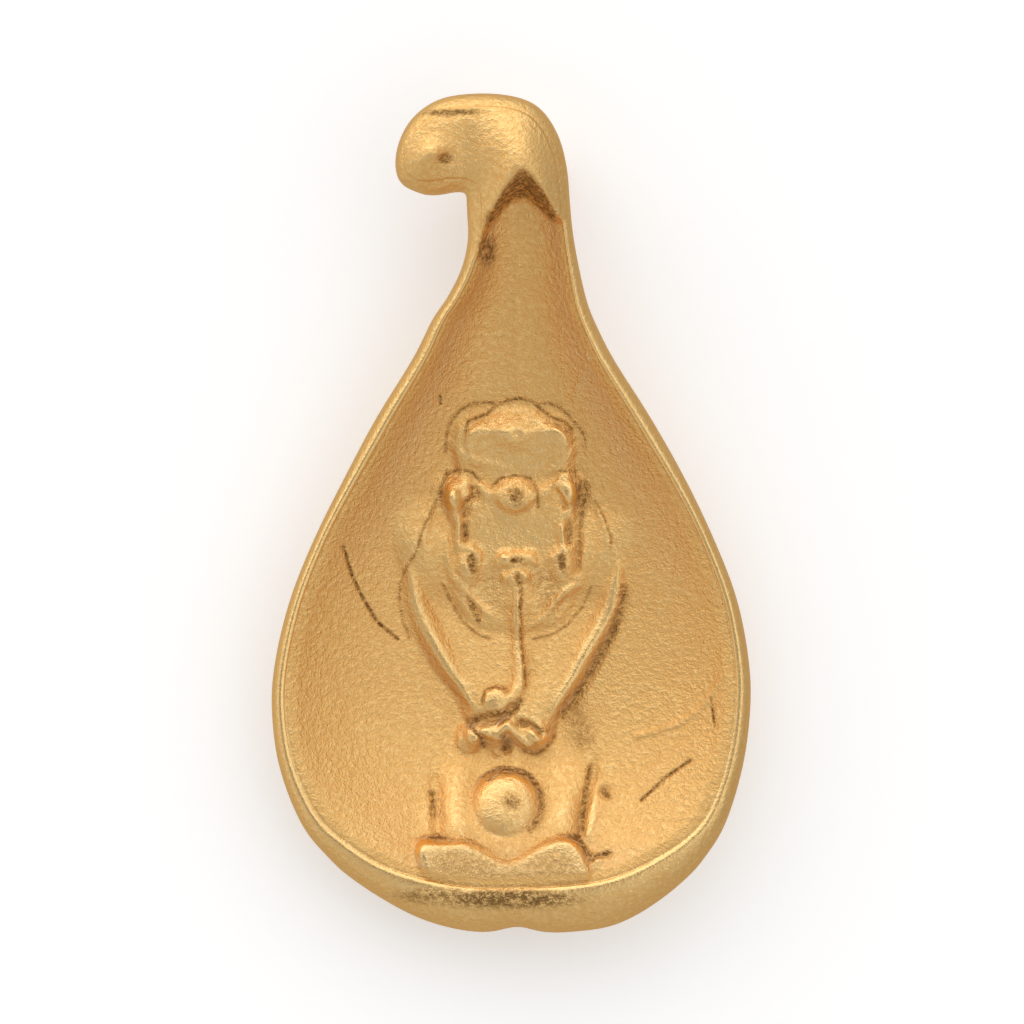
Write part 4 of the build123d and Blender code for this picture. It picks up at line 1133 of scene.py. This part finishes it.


# Cast gold: matt and grainy as cast, smoother and paler where it is worn or polished, darker
# and coarser where it is pitted and where shade is painted on, and painted paler where light is
# reflected twice
def gold_material(name, grain):
    material = bpy.data.materials.new(name)
    tree = empty_tree(material)

    def number(operation, first, second, clamp=False):
        return add_node(tree, "ShaderNodeMath", {0: first, 1: second}, operation=operation,
                        use_clamp=clamp).outputs[0]

    def mixed(factor, first, second):
        return add_node(tree, "ShaderNodeMix", {"Factor": factor, 6: first, 7: second},
                        data_type="RGBA").outputs[2]

    def noise(scale, detail, roughness):
        return add_node(tree, "ShaderNodeTexNoise", {"Vector": place, "Scale": scale,
                                                     "Detail": detail,
                                                     "Roughness": roughness}).outputs[0]

    place = add_node(tree, "ShaderNodeTexCoord").outputs["Object"]
    polish, pits_and_shade, bounce_paling = (
        add_node(tree, "ShaderNodeAttribute", attribute_name=layer).outputs["Fac"]
        for layer in LAYERS)
    broad = noise(*BROAD_NOISE)
    grains = number("ADD", number("MULTIPLY", noise(*COARSE_NOISE), coarse_share),
                    number("MULTIPLY", noise(*FINE_NOISE), 1 - coarse_share))

    worn = number("ADD", polish, spread(tree, grains, *GRAIN_TO_WEAR), clamp=True)
    worn = number("SUBTRACT", worn, number("MULTIPLY", pits_and_shade, pits_and_shade_wear), clamp=True)
    rough = number("MULTIPLY", spread(tree, worn, *WEAR_TO_ROUGHNESS),
                   spread(tree, broad, *BROAD_TO_ROUGHNESS))
    strength = number("ADD", spread(tree, polish, 0.0, 1.0, grain, polished_bump * grain),
                      number("MULTIPLY", pits_and_shade, pits_and_shade_bump * grain))
    bump = add_node(tree, "ShaderNodeBump", {"Strength": number("MINIMUM", strength, 1.0),
                                             "Distance": spread(tree, pits_and_shade, *PITS_AND_SHADE_TO_DEPTH),
                                             "Height": grains}).outputs[0]

    # Grainy dark specks: painted shade in crevices, scratches, along contours and in rough
    # patches, and dark pits
    pits_and_shade_specks = number("MULTIPLY", pits_and_shade, spread(tree, grains, *GRAIN_TO_DARK), clamp=True)
    colour = mixed(worn, CAST_COLOUR, WORN_COLOUR)
    # Painted paler where light is reflected twice
    colour = mixed(bounce_paling, colour, BOUNCE_PALE_COLOUR)
    colour = mixed(pits_and_shade_specks, colour, PITS_AND_SHADE_COLOUR)
    add_surface(tree, {"Base Color": colour, "Metallic": 1.0, "Roughness": rough,
                       "Specular Tint": EDGE_TINT, "Normal": bump})
    return material


# A floor that gives off a little light, and that the gold doesn't mirror
def pale_floor():
    mesh = bpy.data.meshes.new("floor")
    corners = [(-1, -1), (1, -1), (1, 1), (-1, 1)]
    mesh.from_pydata([(x * floor_half, y * floor_half, 0) for x, y in corners], [], [range(4)])
    floor = bpy.data.objects.new("floor", mesh)
    bpy.context.scene.collection.objects.link(floor)
    floor.visible_glossy = False
    mesh.materials.append(bpy.data.materials.new("pale_floor"))
    add_surface(empty_tree(mesh.materials[0]), {
        "Base Color": (0.9, 0.9, 0.9, 1.0), "Roughness": 0.9, "Specular IOR Level": 0.2,
        "Emission Color": (1.0, 1.0, 1.0, 1.0), "Emission Strength": 0.3})


# A tent of soft light, brightest beyond the leaf's tip, with a darker opening straight above
def tent_light():
    world = bpy.data.worlds.new("tent")
    bpy.context.scene.world = world
    tree = empty_tree(world)
    way = add_node(tree, "ShaderNodeTexCoord").outputs["Generated"]
    total = tent_base
    for across, along, up, start, full, strength in TENT:
        towards = Vector((across, along, up)).normalized()
        facing = add_node(tree, "ShaderNodeVectorMath", {0: way, 1: towards},
                          operation="DOT_PRODUCT").outputs["Value"]
        panel = spread(tree, facing, start, full, 0.0, strength, interpolation_type="SMOOTHSTEP")
        total = add_node(tree, "ShaderNodeMath", {0: total, 1: panel}, operation="ADD").outputs[0]
    shader = add_node(tree, "ShaderNodeBackground", {"Strength": total})
    add_node(tree, "ShaderNodeOutputWorld", {"Surface": shader.outputs[0]})


def photo_camera():
    data = bpy.data.cameras.new("camera")
    data.sensor_width = sensor_width
    data.lens = sensor_width * view_distance / view_width
    data.clip_start = 0.01
    camera = bpy.data.objects.new("camera", data)
    camera.location = (view_middle, view_middle, view_distance + view_height)
    bpy.context.scene.collection.objects.link(camera)
    bpy.context.scene.camera = camera


casting = build_casting()
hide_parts("casting")
casting.data.materials.append(gold_material("satin_gold", casting_grain))
bail_gold = gold_material("polished_gold", bail_grain)
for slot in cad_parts["bail"].material_slots:
    slot.material = bail_gold

pale_floor()
tent_light()
photo_camera()
bpy.context.scene.view_settings.view_transform = "Standard"
